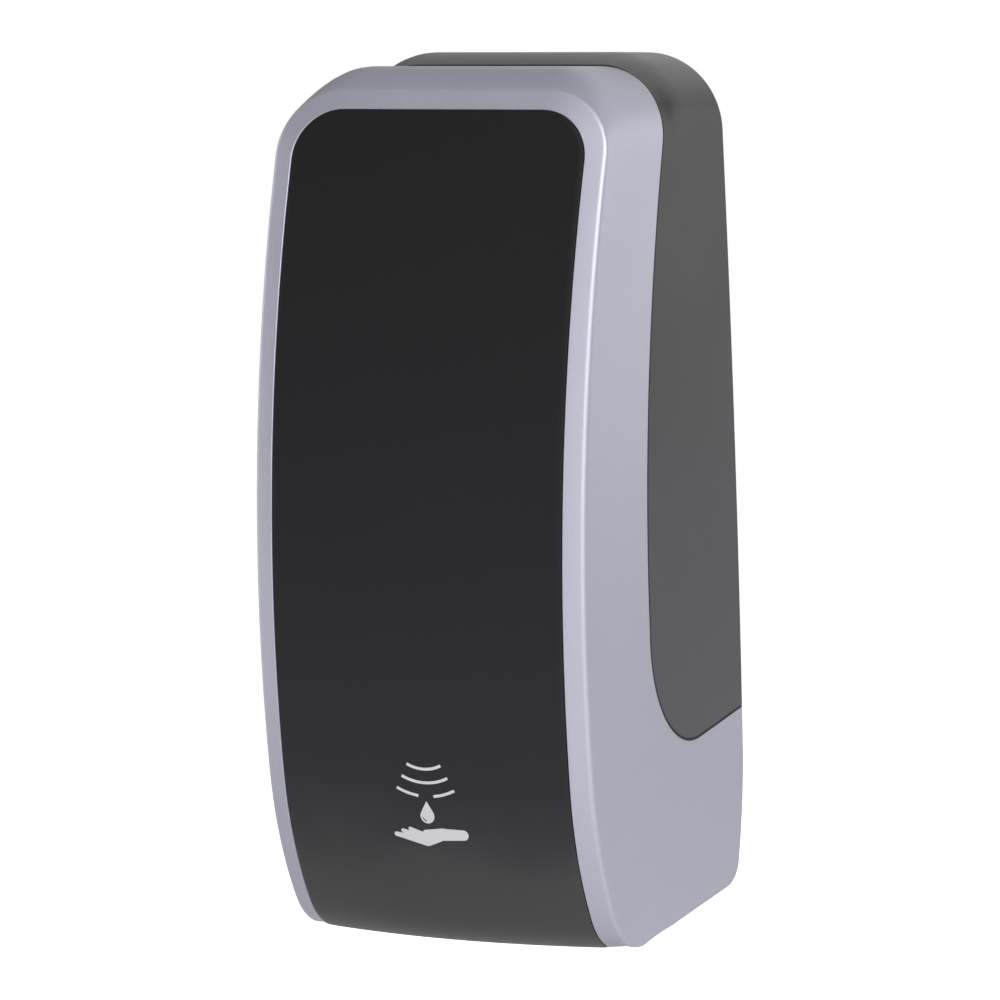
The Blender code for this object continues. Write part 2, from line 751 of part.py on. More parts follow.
def node(name, shape, look, carrier=None):
    """One named piece from a closed shape."""
    bmesh.ops.remove_doubles(shape, verts=shape.verts, dist=GAP / 300)
    bmesh.ops.dissolve_degenerate(shape, edges=shape.edges, dist=GAP / 300)
    mesh = to_mesh(shape, name)
    mesh.shade_smooth()
    mesh.set_sharp_from_angle(angle=SHARP_ANGLE)
    mesh.materials.append(finish(name, *look))
    piece = bpy.data.objects.new(name, mesh)
    bpy.context.scene.collection.objects.link(piece)
    if carrier is not None:
        piece.parent = carrier
        piece.matrix_parent_inverse = Matrix.Translation(-carrier.location)
    return piece


def screw_shape(axis, centre, head_radius, shank_radius, seat, tip, head_side):
    """Pan head screw: its head stands on the seat and its shank runs to the tip."""
    if axis == "X":
        head = rod("X", centre, head_radius, (seat, seat + head_side * SCREW_HEAD_HEIGHT),
                   SMALL_STEPS)
        shank = rod("X", centre, shank_radius, (seat + head_side * CUT, tip), SMALL_STEPS)
    else:
        head = rod("depth", centre, head_radius, (seat, seat + SCREW_HEAD_HEIGHT), SMALL_STEPS)
        shank = rod("depth", centre, shank_radius, (seat + CUT, tip), SMALL_STEPS)
    return fuse(head, shank)


# Cover

def plane_loop(depth, inset, top, corner, low_lift):
    """Outline of the cover in a plane parallel to the wall."""
    low = SIDE.underside(depth) + low_lift + inset
    pairs = upright_outline(lambda z: half_at(depth, z) - inset, low, top - inset,
                            corner - inset, LOW_CORNER)
    return [place(x, depth, z) for x, z in pairs]


def front_loop(inset, low, high, corner, corner_low, lift, shift):
    """Outline on the front of the cover, lifted off the crease curve and shifted forwards."""
    def half(along):
        return front_half(SIDE.point(along)[1]) - inset
    pairs = upright_outline(half, low, high, corner, corner_low)
    points = []
    for across, along in pairs:
        depth, height = SIDE.point(along, lift)
        depth += shift(along) + bulge(height, across)
        points.append(place(across, depth, height))
    return points


def window_loop(inset, lift):
    """Outline of the window, drawn in by an inset and lifted off its outer face."""
    return front_loop(BAND_WIDTH + inset, window_low() + inset, window_high() - inset,
                      WINDOW_CORNER - inset, WINDOW_LOW_CORNER - inset, lift, band_rise)


def between(first, second, share):
    return [a.lerp(b, share) for a, b in zip(first, second)]


def shares_of(first, second, length):
    """The share of the way from one loop to the next that a length takes, at the sides."""
    k = LOW_STEPS + LOW_CORNER_STEPS + SIDE_STEPS // 2
    return length / (second[k] - first[k]).length


def window_low():
    return SIDE.along_at_angle(WINDOW_END)


def window_high():
    return SIDE.along_at_height(CREASE_TOP) - BAND_TOP_WIDTH


def rebate():
    """Depth of the step that the window and its gasket lie in."""
    return WINDOW_THICKNESS + GASKET_THICKNESS + GAP


def rim_lift(depth):
    """How far the rounded rear corner lifts the underside at a depth."""
    left = RIM_ROUND - (depth - RIM_DEPTH)
    if left <= 0.0:
        return 0.0
    return RIM_ROUND - math.sqrt(RIM_ROUND ** 2 - left ** 2)


def shoulder(share, span):
    """Share of its rise that a rounded top wall has reached at a share of the way back."""
    return 1.0 - (1.0 - min(share / span, 1.0)) ** 2


def flank(crease, seam, share):
    """Loop a share of the way back from the crease, whose top rounds over its shoulder."""
    extra = shoulder(share, FRAME_SHOULDER) - share
    points = []
    for first, last in zip(crease, seam):
        upper = min(max((first.z - CREASE_TOP) / CREASE_CORNER + 1.0, 0.0), 1.0)
        gap = last - first
        points.append(first + gap * share + Vector((gap.x, 0.0, gap.z)) * (extra * upper))
    return points


def cover_blank():
    """The whole cover without its window, before the seam divides it: an open tray with a hole."""
    seam = seam_plane_depth()
    crease_along = SIDE.along_at_height(CREASE_TOP)
    crease_low = SIDE.along_at_angle(SIDE.turn_end)
    flat = (lambda along: 0.0)
    rim_depths = (RIM_DEPTH, RIM_DEPTH + RIM_ROUND * RIM_MIDDLE_SHARE, RIM_DEPTH + RIM_ROUND)

    def top_at(depth, rounded):
        back = 1.0 - depth / seam
        return SEAM_TOP + (COVER_TOP - SEAM_TOP) * (shoulder(back, SHELL_SHOULDER) if rounded
                                                    else back)

    def corner_at(depth):
        return REAR_CORNER + (SEAM_CORNER - REAR_CORNER) * depth / seam

    def wall_loops(inset, depths, rounded):
        return [plane_loop(d, inset, top_at(d, rounded), corner_at(d), rim_lift(d))
                for d in depths]

    outer = wall_loops(0.0, (*rim_depths, seam * (1.0 - SHELL_SHOULDER), seam), True)
    crease = front_loop(0.0, crease_low, crease_along, CREASE_CORNER, LOW_CORNER, 0.0, flat)
    edge = window_loop(0.0, 0.0)
    behind = flank(crease, outer[-1], shares_of(crease, outer[-1], CREASE_ROUND))
    shoulders = [flank(crease, outer[-1], FRAME_SHOULDER * share) for share in (1.0, 0.45)]
    ahead = between(crease, edge, shares_of(crease, edge, CREASE_ROUND))
    middle = between(between(behind, ahead, 0.5), crease, CREASE_SHARE)
    step = window_loop(0.0, -rebate())
    ledge = window_loop(LEDGE_WIDTH, -rebate())
    ledge_back = window_loop(LEDGE_WIDTH, -rebate() - LEDGE_THICKNESS)
    inner_crease = front_loop(COVER_WALL, crease_low, crease_along - COVER_WALL,
                              CREASE_CORNER - COVER_WALL, LOW_CORNER,
                              -rebate() - LEDGE_THICKNESS / 2, flat)
    inner = list(reversed(wall_loops(COVER_WALL, (*rim_depths, seam), False)))
    return loft(outer + shoulders + [behind, middle, ahead, edge, step, ledge, ledge_back,
                                     inner_crease] + inner, ring=True)


def seam_curve(shift):
    """Side view of the seam from the top down to the wall, moved towards the front by a shift."""
    points = []
    steps = 16
    for k in range(steps + 1):
        height = COVER_TOP + FRAME_DEPTH + (NOTCH_HEIGHT - COVER_TOP - FRAME_DEPTH) * k / steps
        points.append((SIDE.front_depth(height) - FRAME_DEPTH + shift, height))
    middle = SIDE.front_depth(NOTCH_HEIGHT) - FRAME_DEPTH - NOTCH_HALF_DEPTH
    wide = NOTCH_HALF_DEPTH + shift
    tall = NOTCH_HALF_HEIGHT + shift
    last = math.pi / 2 + math.atan(wide * math.tan(NOTCH_RISE) / tall)
    turn_steps = 12
    for k in range(1, turn_steps + 1):
        angle = last * k / turn_steps
        points.append((middle + wide * math.cos(angle), NOTCH_HEIGHT - tall * math.sin(angle)))
    depth, height = points[-1]
    points.append((-COVER_WALL, height + (depth + COVER_WALL) * math.tan(NOTCH_RISE)))
    return points


def behind_seam(shift):
    """Everything behind the seam, as a prism across the cover."""
    points = seam_curve(shift)
    points.append((-COVER_WALL, points[0][1]))
    return side_prism(points, (-2.0 * REAR_HALF_LOW, 2.0 * REAR_HALF_LOW))


def inner_half(depth, height):
    """Distance from the middle to the inside of the cover's side wall."""
    return half_at(depth, height) - COVER_WALL


def tab_spots():
    """Side, height and seam depth of each tab that joins the frame to the rear shell."""
    for height in (TAB_UPPER, DECK_HEIGHT - DECK_THICKNESS - TAB_BELOW_DECK):
        for side in (-1, 1):
            yield side, height, SIDE.front_depth(height) - FRAME_DEPTH


def tab_face(height, seam):
    """Distance from the middle to a tab's outer face, clear of the wall all along the tab."""
    spots = ((seam - TAB_REACH, height - TAB_HALF_HEIGHT),
             (seam + TAB_ROOT, height - TAB_HALF_HEIGHT),
             (seam + TAB_ROOT, height + TAB_HALF_HEIGHT))
    return min(inner_half(depth, z) for depth, z in spots) - GAP


def front_frame(blank, carrier):
    """Silver front of the cover with the underside and the tabs that take the rear shell."""
    shape = cut(blank, behind_seam(SEAM_GAP / 2))
    for side, height, seam in tab_spots():
        face = tab_face(height, seam)
        tongue = block(sorted((side * (face - TAB_THICKNESS), side * face)),
                       (seam - TAB_REACH, seam + 2.0 * TAB_ROOT),
                       (height - TAB_HALF_HEIGHT, height + TAB_HALF_HEIGHT))
        root = block(sorted((side * (face - TAB_THICKNESS), side * (face + GAP + SINK))),
                     (seam + TAB_ROOT, seam + 2.0 * TAB_ROOT + CUT),
                     (height - TAB_HALF_HEIGHT + CUT, height + TAB_HALF_HEIGHT - CUT))
        hole = rod("X", (seam - TAB_SCREW_BACK, height), TAB_SCREW_RADIUS + GAP,
                   (side * (face - TAB_THICKNESS - CUT), side * (face + CUT)), SMALL_STEPS)
        shape = fuse(shape, cut(fuse(tongue, root), hole))
    for side in (-1, 1):
        shape = cut(fuse(shape, hinge_boss(side)), hinge_bore(side))
    opening = COVER_OPENING_GAP
    shape = cut(shape, block((-SHROUD_HALF_WIDTH - opening, SHROUD_HALF_WIDTH + opening),
                             (SHROUD_BACK - opening, SHROUD_FRONT + opening),
                             (SIDE.underside(SHROUD_FRONT) - BOSS_RADIUS,
                              SIDE.underside(0.0) + BOSS_RADIUS)))
    return node("front_frame", shape, SILVER, carrier)


def lug_inner():
    """Distance from the middle to the near face of a hinge lug."""
    wall = inner_half(HINGE_DEPTH, hinge_height())
    return wall - BOSS_LENGTH - BOSS_GAP - LUG_WIDTH


def hinge_boss(side):
    """Boss on the frame's side wall that turns on the hinge pin."""
    start = side * (lug_inner() + LUG_WIDTH + BOSS_GAP)
    stop = side * (inner_half(HINGE_DEPTH, hinge_height()) + SINK)
    return rod("X", (HINGE_DEPTH, hinge_height()), BOSS_RADIUS, (start, stop))


def hinge_bore(side):
    start = side * (lug_inner() + LUG_WIDTH)
    stop = side * (lug_inner() + LUG_WIDTH + BOSS_GAP + PIN_REACH + GAP)
    return rod("X", (HINGE_DEPTH, hinge_height()), HINGE_PIN_RADIUS + GAP, (start, stop))


def rear_shell(blank, carrier):
    """Dark rear half of the cover with the catch for the latch and the key slot."""
    shape = keep(blank, behind_seam(-SEAM_GAP / 2))
    catch_low = latch_top() - CATCH_HOOK
    catch = block((-CATCH_HALF_WIDTH, CATCH_HALF_WIDTH),
                  (CATCH_DEPTH, CATCH_DEPTH + CATCH_THICKNESS),
                  (catch_low, inner_top(CATCH_DEPTH + CATCH_THICKNESS) + SINK))
    nose = nose_back() + NOSE_THICKNESS / 2
    key = block((-KEY_HALF_WIDTH, KEY_HALF_WIDTH),
                (nose - KEY_SLOT_DEPTH / 2, nose + KEY_SLOT_DEPTH / 2),
                (inner_top(nose) - COVER_WALL, COVER_TOP + CUT))
    shape = cut(fuse(shape, catch), key)
    for side, height, seam in tab_spots():
        wall = inner_half(seam - TAB_SCREW_BACK, height)
        shape = cut(shape, rod("X", (seam - TAB_SCREW_BACK, height), TAB_SCREW_RADIUS + GAP,
                               (side * (wall - CUT), side * (wall + TAB_SCREW_BITE + GAP)),
                               SMALL_STEPS))
    return node("rear_shell", shape, DARK_GREY, carrier)


def inner_top(depth):
    """Height of the inside of the cover's top wall."""
    return COVER_TOP + (SEAM_TOP - COVER_TOP) * depth / seam_plane_depth() - COVER_WALL


def shell_screws(carrier):
    for count, (side, height, seam) in enumerate(tab_spots(), 1):
        wall = inner_half(seam - TAB_SCREW_BACK, height)
        seat = tab_face(height, seam) - TAB_THICKNESS - GAP
        shape = screw_shape("X", (seam - TAB_SCREW_BACK, height), TAB_SCREW_HEAD,
                            TAB_SCREW_RADIUS, side * seat,
                            side * (wall + TAB_SCREW_BITE), -side)
        node(f"shell_screw_{count}", shape, STEEL, carrier)


def window_rows(inset):
    """Rows of (half width, along) over the window, closer together in its round corners."""
    low = window_low() + inset
    high = window_high() - inset

    def half(along):
        return front_half(SIDE.point(along)[1]) - BAND_WIDTH - inset
    outline = upright_outline(half, low, high, WINDOW_CORNER - inset,
                              WINDOW_LOW_CORNER - inset)
    first = LOW_STEPS
    return outline[first:first + LOW_CORNER_STEPS + SIDE_STEPS + CORNER_STEPS + 1]


def window_grid(rows, lift):
    """Rows of points across the window at a lift off its outer face."""
    grid = []
    for half, along in rows:
        line = []
        for k in range(WINDOW_COLUMNS + 1):
            across = half * (2.0 * k / WINDOW_COLUMNS - 1.0)
            depth, height = SIDE.point(along, lift)
            line.append(place(across, depth + band_rise(along) + bulge(height, across), height))
        grid.append(line)
    return grid


def front_window(carrier):
    """Smoked window that fills the frame and rolls under at the chin."""
    rows = window_rows(GAP)
    shape = bmesh.new()
    rims = []
    for lift in (0.0, -WINDOW_THICKNESS):
        verts = [[shape.verts.new(point) for point in line] for line in window_grid(rows, lift)]
        for low, high in zip(verts, verts[1:]):
            for k in range(WINDOW_COLUMNS):
                shape.faces.new((low[k], low[k + 1], high[k + 1], high[k]))
        rims.append([*verts[0], *(line[-1] for line in verts[1:-1]), *reversed(verts[-1]),
                     *(line[0] for line in reversed(verts[1:-1]))])
    front, back = rims
    for k in range(len(front)):
        after = (k + 1) % len(front)
        shape.faces.new((front[k], front[after], back[after], back[k]))
    bmesh.ops.recalc_face_normals(shape, faces=shape.faces)
    return node("front_window", shape, SMOKED, carrier)


def window_gasket(carrier):
    """Strip between the window and the ledge of the frame."""
    front = -WINDOW_THICKNESS - GAP
    back = front - GASKET_THICKNESS + GAP
    near = LEDGE_WIDTH - GASKET_WIDTH - GAP
    far = LEDGE_WIDTH - GAP
    shape = loft([window_loop(near, front), window_loop(far, front), window_loop(far, back),
                  window_loop(near, back)], ring=True)
    return node("window_gasket", shape, RUBBER, carrier)


# Wall plate, hinge and latch

def wall_plate():
    """Plate that screws to the wall, with keyholes, slots and the hinge lugs."""
    inset = COVER_WALL + PLATE_MARGIN
    pairs = upright_outline(lambda z: rear_half(z) - inset, PLATE_LOW, COVER_TOP - inset,
                            REAR_CORNER - inset, LOW_CORNER)
    shape = front_prism(pairs, (0.0, PLATE_THICKNESS))
    for side in (-1, 1):
        shape = fuse(shape, hinge_lug(side))
        shape = cut(shape, keyhole(side * KEYHOLE_ACROSS), lower_slot(side * KEYHOLE_ACROSS))
        for height in (CHASSIS_SCREW_UPPER, CHASSIS_SCREW_LOWER):
            shape = cut(shape, rod("depth", (side * CHASSIS_SCREW_ACROSS, height),
                                   CHASSIS_SCREW_RADIUS + GAP,
                                   (SCREW_TIP_COVER, PLATE_THICKNESS + CUT), SMALL_STEPS))
        shape = cut(shape, rod("X", (HINGE_DEPTH, hinge_height()), HINGE_PIN_RADIUS + GAP,
                               (side * (lug_inner() - CUT),
                                side * (lug_inner() + LUG_WIDTH + CUT))))
    return node("wall_plate", shape, WHITE)


def hinge_lug(side):
    """Lug that reaches down from the plate, clear of the cover's rim as the cover turns."""
    root_low = PLATE_LOW + GAP
    root_high = root_low + LUG_ROOT_HEIGHT
    middle = hinge_height()
    points = [(PLATE_THICKNESS - CUT, root_high), (LUG_FRONT, root_high),
              (LUG_FRONT, middle + LUG_RADIUS)]
    steps = 14
    for k in range(steps + 1):
        angle = LUG_TURN_START - LUG_TURN * k / steps
        points.append((HINGE_DEPTH + LUG_RADIUS * math.cos(angle),
                       middle + LUG_RADIUS * math.sin(angle)))
    points.append((HINGE_DEPTH, root_low))
    points.append((PLATE_THICKNESS - CUT, root_low))
    return side_prism(points, sorted((side * lug_inner(), side * (lug_inner() + LUG_WIDTH))))


def keyhole(across):
    """Round hole with a narrower slot above it, through the plate."""
    points = []
    half_angle = math.acos(SLOT_HALF_WIDTH / KEYHOLE_RADIUS)
    steps = 16
    sweep_angle = math.pi + 2.0 * half_angle
    for k in range(steps + 1):
        angle = half_angle - sweep_angle * k / steps
        points.append((across + KEYHOLE_RADIUS * math.cos(angle),
                       KEYHOLE_HEIGHT + KEYHOLE_RADIUS * math.sin(angle)))
    for k in range(7):
        angle = math.pi - math.pi * k / 6
        points.append((across + SLOT_HALF_WIDTH * math.cos(angle),
                       KEYHOLE_HEIGHT + SLOT_LENGTH + SLOT_HALF_WIDTH * math.sin(angle)))
    return front_prism(points, (-CUT, PLATE_THICKNESS + CUT))


def lower_slot(across):
    """Level slot that takes up the error of a drilled hole."""
    points = []
    reach = SLOT_LENGTH / 2 - SLOT_HALF_WIDTH
    for side in (1, -1):
        for k in range(7):
            angle = -math.pi / 2 + math.pi * k / 6
            points.append((across + side * (reach + SLOT_HALF_WIDTH * math.cos(angle)),
                           LOWER_SLOT_HEIGHT + side * SLOT_HALF_WIDTH * math.sin(angle)))
    return front_prism(points, (-CUT, PLATE_THICKNESS + CUT))


def hinge_pins():
    for name, side in (("left", -1), ("right", 1)):
        inner = side * (lug_inner() - GAP)
        head = rod("X", (HINGE_DEPTH, hinge_height()), PIN_HEAD_RADIUS,
                   (inner - side * PIN_HEAD_LENGTH, inner), SMALL_STEPS)
        stop = side * (lug_inner() + LUG_WIDTH + BOSS_GAP + PIN_REACH)
        body = rod("X", (HINGE_DEPTH, hinge_height()), HINGE_PIN_RADIUS,
                   (inner - side * PIN_HEAD_LENGTH / 2, stop))
        node(f"hinge_pin_{name}", fuse(head, body), STEEL)


def latch_front():
    return LATCH_BACK + LATCH_THICKNESS


def latch_top():
    """The latch's nose stands just below the cover's top wall."""
    return inner_top(nose_back() + NOSE_THICKNESS) - LATCH_HEADROOM


def arm_low():
    return latch_top() - NOSE_HEIGHT - ARM_THICKNESS


def guide_top():
    """The guide clears the latch's arm by a gap when the latch is pushed right down."""
    return arm_low() - LATCH_TRAVEL - CUT


def guide_low():
    return guide_top() - GUIDE_HEIGHT


def latch_low():
    return guide_low() + LATCH_FOOT


def nose_back():
    return CATCH_DEPTH + CATCH_THICKNESS + CATCH_PLAY


def latch_guide():
    """Box on the wall plate that the latch slides in."""
    play = GAP
    outer = block((-LATCH_HALF_WIDTH - play - GUIDE_WALL, LATCH_HALF_WIDTH + play + GUIDE_WALL),
                  (PLATE_THICKNESS + GAP, latch_front() + play + GUIDE_WALL),
                  (guide_low(), guide_top()))
    inner = block((-LATCH_HALF_WIDTH - play, LATCH_HALF_WIDTH + play),
                  (LATCH_BACK - play, latch_front() + play),
                  (guide_low() + GUIDE_WALL, guide_top() + CUT))
    return node("latch_guide", cut(outer, inner), LIGHT_GREY)


def latch_slider(carrier):
    """Sprung latch: its nose stands in front of the cover's catch until a key pushes it down."""
    top = arm_low() + ARM_THICKNESS
    front = nose_back() + NOSE_THICKNESS
    points = [(LATCH_BACK, latch_low()), (latch_front(), latch_low()), (latch_front(), arm_low()),
              (front, arm_low()), (front, top + NOSE_HEIGHT / 2),
              (front - NOSE_THICKNESS / 2, latch_top()), (nose_back(), latch_top()),
              (nose_back(), top), (LATCH_BACK, top)]
    shape = side_prism(points, (-LATCH_HALF_WIDTH, LATCH_HALF_WIDTH))
    return node("latch_slider", shape, BLACK, carrier)


def latch_spring():
    spot = (0.0, LATCH_BACK + LATCH_THICKNESS / 2)
    shape = coil(spot, LATCH_SPRING_RADIUS, LATCH_SPRING_WIRE, guide_low() + GUIDE_WALL + GAP,
                 latch_low() - GAP, LATCH_SPRING_TURNS)
    return node("latch_spring", shape, STEEL)


# Chassis

def chassis_back():
    return PLATE_THICKNESS + GAP


def chassis():
    """One moulding: back panel, tank deck, floor and two gussets."""
    back = chassis_back()
    front = back + CHASSIS_WALL
    floor_low = FLOOR_HEIGHT - FLOOR_THICKNESS
    deck_low = DECK_HEIGHT - DECK_THICKNESS
    shape = block((-CHASSIS_HALF_WIDTH, CHASSIS_HALF_WIDTH), (back, front),
                  (floor_low, guide_low() - CHASSIS_BELOW_GUIDE))
    shape = fuse(shape,
                 rounded_block((-DECK_HALF_WIDTH, DECK_HALF_WIDTH),
                               (front - CUT, DECK_FRONT), (deck_low, DECK_HEIGHT), LOW_CORNER),
                 block((-CHASSIS_HALF_WIDTH + CUT, CHASSIS_HALF_WIDTH - CUT),
                       (front - CUT, OUTLET_DEPTH + FLOOR_AHEAD),
                       (floor_low + CUT / 2, FLOOR_HEIGHT)))
    for left in (GUSSET_LEFT, GUSSET_RIGHT):
        shape = fuse(shape, block((left, left + GUSSET_THICKNESS),
                                  (front - CUT, PUMP_BACK - GUSSET_PUMP_GAP),
                                  (FLOOR_HEIGHT - CUT, deck_low + CUT)))
    shape = cut(shape, rod("Z", (0.0, OUTLET_DEPTH), SOCKET_BORE,
                           (deck_low - CUT, DECK_HEIGHT + CUT)))
    for side in (-1, 1):
        shape = cut(shape, rod("depth", (side * KEYHOLE_ACROSS, LOWER_SLOT_HEIGHT), ACCESS_RADIUS,
                               (back - CUT, front + CUT), SMALL_STEPS))
        for height in (CHASSIS_SCREW_UPPER, CHASSIS_SCREW_LOWER):
            shape = cut(shape, rod("depth", (side * CHASSIS_SCREW_ACROSS, height),
                                   CHASSIS_SCREW_RADIUS + GAP, (back - CUT, front + CUT),
                                   SMALL_STEPS))
    shape = cut(shape, rod("Z", (0.0, OUTLET_DEPTH), NOZZLE_STEM + GAP,
                           (floor_low - CUT, FLOOR_HEIGHT + CUT)))
    return node("chassis", shape, LIGHT_GREY)


def chassis_screws():
    count = 0
    for height in (CHASSIS_SCREW_UPPER, CHASSIS_SCREW_LOWER):
        for side in (-1, 1):
            count += 1
            seat = chassis_back() + CHASSIS_WALL + GAP
            shape = screw_shape("depth", (side * CHASSIS_SCREW_ACROSS, height),
                                CHASSIS_SCREW_HEAD, CHASSIS_SCREW_RADIUS, seat,
                                SCREW_TIP_COVER + GAP, 1)
            node(f"chassis_screw_{count}", shape, STEEL)


# Tank

def tank_low():
    return DECK_HEIGHT + GAP


def tank_top():
    return tank_low() + TANK_HEIGHT


def neck_low():
    return tank_low() - NECK_LENGTH


def seat_top():
    return neck_low() + SEAT_THICKNESS


def refill_tank(carrier):
    """Refill tank with a filling mouth, an outlet neck, a valve seat and the lid's hinge ears."""
    wall = TANK_WALL
    shape = rounded_block((-TANK_HALF_WIDTH, TANK_HALF_WIDTH), (TANK_BACK, TANK_FRONT),
                          (tank_low(), tank_top()), TANK_ROUND)
    shape = fuse(shape, rod("Z", (0.0, OUTLET_DEPTH), NECK_RADIUS,
                            (neck_low(), tank_low() + wall / 2)))
    shape = cut(shape, rounded_block((-TANK_HALF_WIDTH + wall, TANK_HALF_WIDTH - wall),
                                     (TANK_BACK + wall, TANK_FRONT - wall),
                                     (tank_low() + wall, tank_top() - wall), TANK_ROUND - wall))
    shape = cut(shape, block((-MOUTH_HALF_WIDTH, MOUTH_HALF_WIDTH),
                             (MOUTH_BACK, MOUTH_BACK + MOUTH_LENGTH),
                             (tank_top() - wall - CUT, tank_top() + CUT)))
    neck = rod("Z", (0.0, OUTLET_DEPTH), NECK_BORE, (seat_top(), tank_low() + wall + CUT))
    seat = rod("Z", (0.0, OUTLET_DEPTH), SEAT_BORE, (neck_low() - CUT, seat_top() + CUT),
               MEDIUM_STEPS)
    shape = cut(shape, neck, seat)
    for side in (-1, 1):
        shape = fuse(shape, lid_ear(side))
    cage = block((-NECK_BORE - SINK, NECK_BORE + SINK),
                 (OUTLET_DEPTH - CAGE_HALF_WIDTH, OUTLET_DEPTH + CAGE_HALF_WIDTH),
                 (tank_low() + wall - CAGE_THICKNESS, tank_low() + wall - GAP))
    return node("refill_tank", fuse(shape, cage), CLEAR, carrier)


def lid_axis():
    """Depth and height of the lid's hinge."""
    return MOUTH_BACK - LID_MARGIN - LID_HINGE_RADIUS, tank_top() + GAP + LID_HINGE_RADIUS


def lid_half():
    return MOUTH_HALF_WIDTH + LID_MARGIN


def lid_ear(side):
    """Ear that holds one end of the lid's pin."""
    depth, height = lid_axis()
    inner = side * (lid_half() + GAP)
    outer = inner + side * LID_EAR_WIDTH
    ear = block(sorted((inner, outer)), (depth - LID_HINGE_RADIUS, depth + LID_HINGE_RADIUS),
                (tank_top() - TANK_WALL / 2, height + LID_HINGE_RADIUS))
    return cut(ear, rod("X", (depth, height), LID_PIN_RADIUS + GAP,
                        (inner - side * CUT, outer - side * CUT), SMALL_STEPS))


def tank_lid(carrier):
    """Flap over the filling mouth, with its hinge barrel and pin ends."""
    depth, height = lid_axis()
    half = lid_half()
    front = MOUTH_BACK + MOUTH_LENGTH + LID_MARGIN
    low = tank_top() + GAP
    plate = block((-half, half), (depth, front), (low, low + LID_THICKNESS))
    barrel = rod("X", (depth, height), LID_HINGE_RADIUS, (-half, half), SMALL_STEPS)
    pin_end = half + GAP + LID_EAR_WIDTH - CUT - GAP
    pin = rod("X", (depth, height), LID_PIN_RADIUS, (-pin_end, pin_end), SMALL_STEPS)
    lip = block((-MOUTH_HALF_WIDTH / 2, MOUTH_HALF_WIDTH / 2), (front - CUT, front + LID_MARGIN),
                (low + CUT / 2, low + LID_THICKNESS - CUT / 2))
    return node("tank_lid", fuse(plate, barrel, pin, lip), LIGHT_GREY, carrier)


def tank_seal(carrier):
    radius = (NECK_RADIUS + SOCKET_BORE) / 2
    shape = ring_wire((0.0, OUTLET_DEPTH), tank_low() - SEAL_HEIGHT_BELOW, radius, SEAL_WIRE)
    return node("tank_seal", shape, RUBBER, carrier)


def valve_poppet(carrier):
    """Valve that the socket's pin holds open while the tank is seated."""
    low = socket_pin_top() + GAP
    disc_low = seat_top() + GAP + VALVE_LIFT
    disc_high = disc_low + VALVE_DISC_THICKNESS
    profile = [(0.0, low), (VALVE_STEM_RADIUS, low), (VALVE_STEM_RADIUS, disc_low),
               (VALVE_DISC_RADIUS, disc_low), (VALVE_DISC_RADIUS, disc_high),
               (0.0, disc_high)]
    shape = turned(profile, "Z", (0.0, OUTLET_DEPTH), MEDIUM_STEPS)
    return node("valve_poppet", shape, WHITE, carrier)


def valve_spring(carrier):
    low = seat_top() + GAP + VALVE_LIFT + VALVE_DISC_THICKNESS + GAP
    high = tank_low() + TANK_WALL - CAGE_THICKNESS - GAP
    shape = coil((0.0, OUTLET_DEPTH), VALVE_SPRING_RADIUS, VALVE_SPRING_WIRE, low, high,
                 VALVE_SPRING_TURNS)
    return node("valve_spring", shape, STEEL, carrier)


# Socket

def socket_top():
    return DECK_HEIGHT - DECK_THICKNESS - GAP


def socket_floor():
    return socket_top() - SOCKET_DEPTH


def socket_pin_top():
    return neck_low() - GAP


def inlet_socket():
    """Cup under the deck that seals round the tank's neck and feeds the hose."""
    top = socket_top()
    wall = SOCKET_BORE + SOCKET_WALL
    low = socket_floor() - SOCKET_FLOOR
    profile = [(0.0, low), (wall, low), (wall, top - SOCKET_FLANGE_THICKNESS),
               (SOCKET_FLANGE, top - SOCKET_FLANGE_THICKNESS), (SOCKET_FLANGE, top),
               (SOCKET_BORE, top), (SOCKET_BORE, socket_floor()),
               (SOCKET_PIN_RADIUS, socket_floor()), (SOCKET_PIN_RADIUS, socket_pin_top()),
               (0.0, socket_pin_top())]
    shape = turned(profile, "Z", (0.0, OUTLET_DEPTH))
    shape = fuse(shape, rod("Z", (BARB_ACROSS, OUTLET_DEPTH), BARB_RADIUS,
                            (low - BARB_LENGTH, low + SOCKET_FLOOR / 2), SMALL_STEPS))
    drain = rod("Z", (BARB_ACROSS, OUTLET_DEPTH), BARB_RADIUS / 2,
                (low - BARB_LENGTH - CUT, socket_floor() + CUT), 8)
    return node("inlet_socket", cut(shape, drain), WHITE)


# Pump

def tube_circle():
    """Radius of the middle of the flattened hose round the rollers."""
    return ROLLER_CIRCLE + ROLLER_RADIUS + GAP + TUBE_FLAT_HALF


def track_radius():
    return tube_circle() + TUBE_FLAT_HALF + GAP


def pump_middle():
    return PUMP_BACK + PUMP_PLATE + TRACK_DEPTH / 2


def cover_back():
    return PUMP_BACK + PUMP_PLATE + TRACK_DEPTH + GAP


def post_spots():
    for side in (-1, 1):
        for height in (PUMP_HEIGHT + POST_UP, PUMP_HEIGHT - POST_DOWN):
            yield side * POST_ACROSS, height


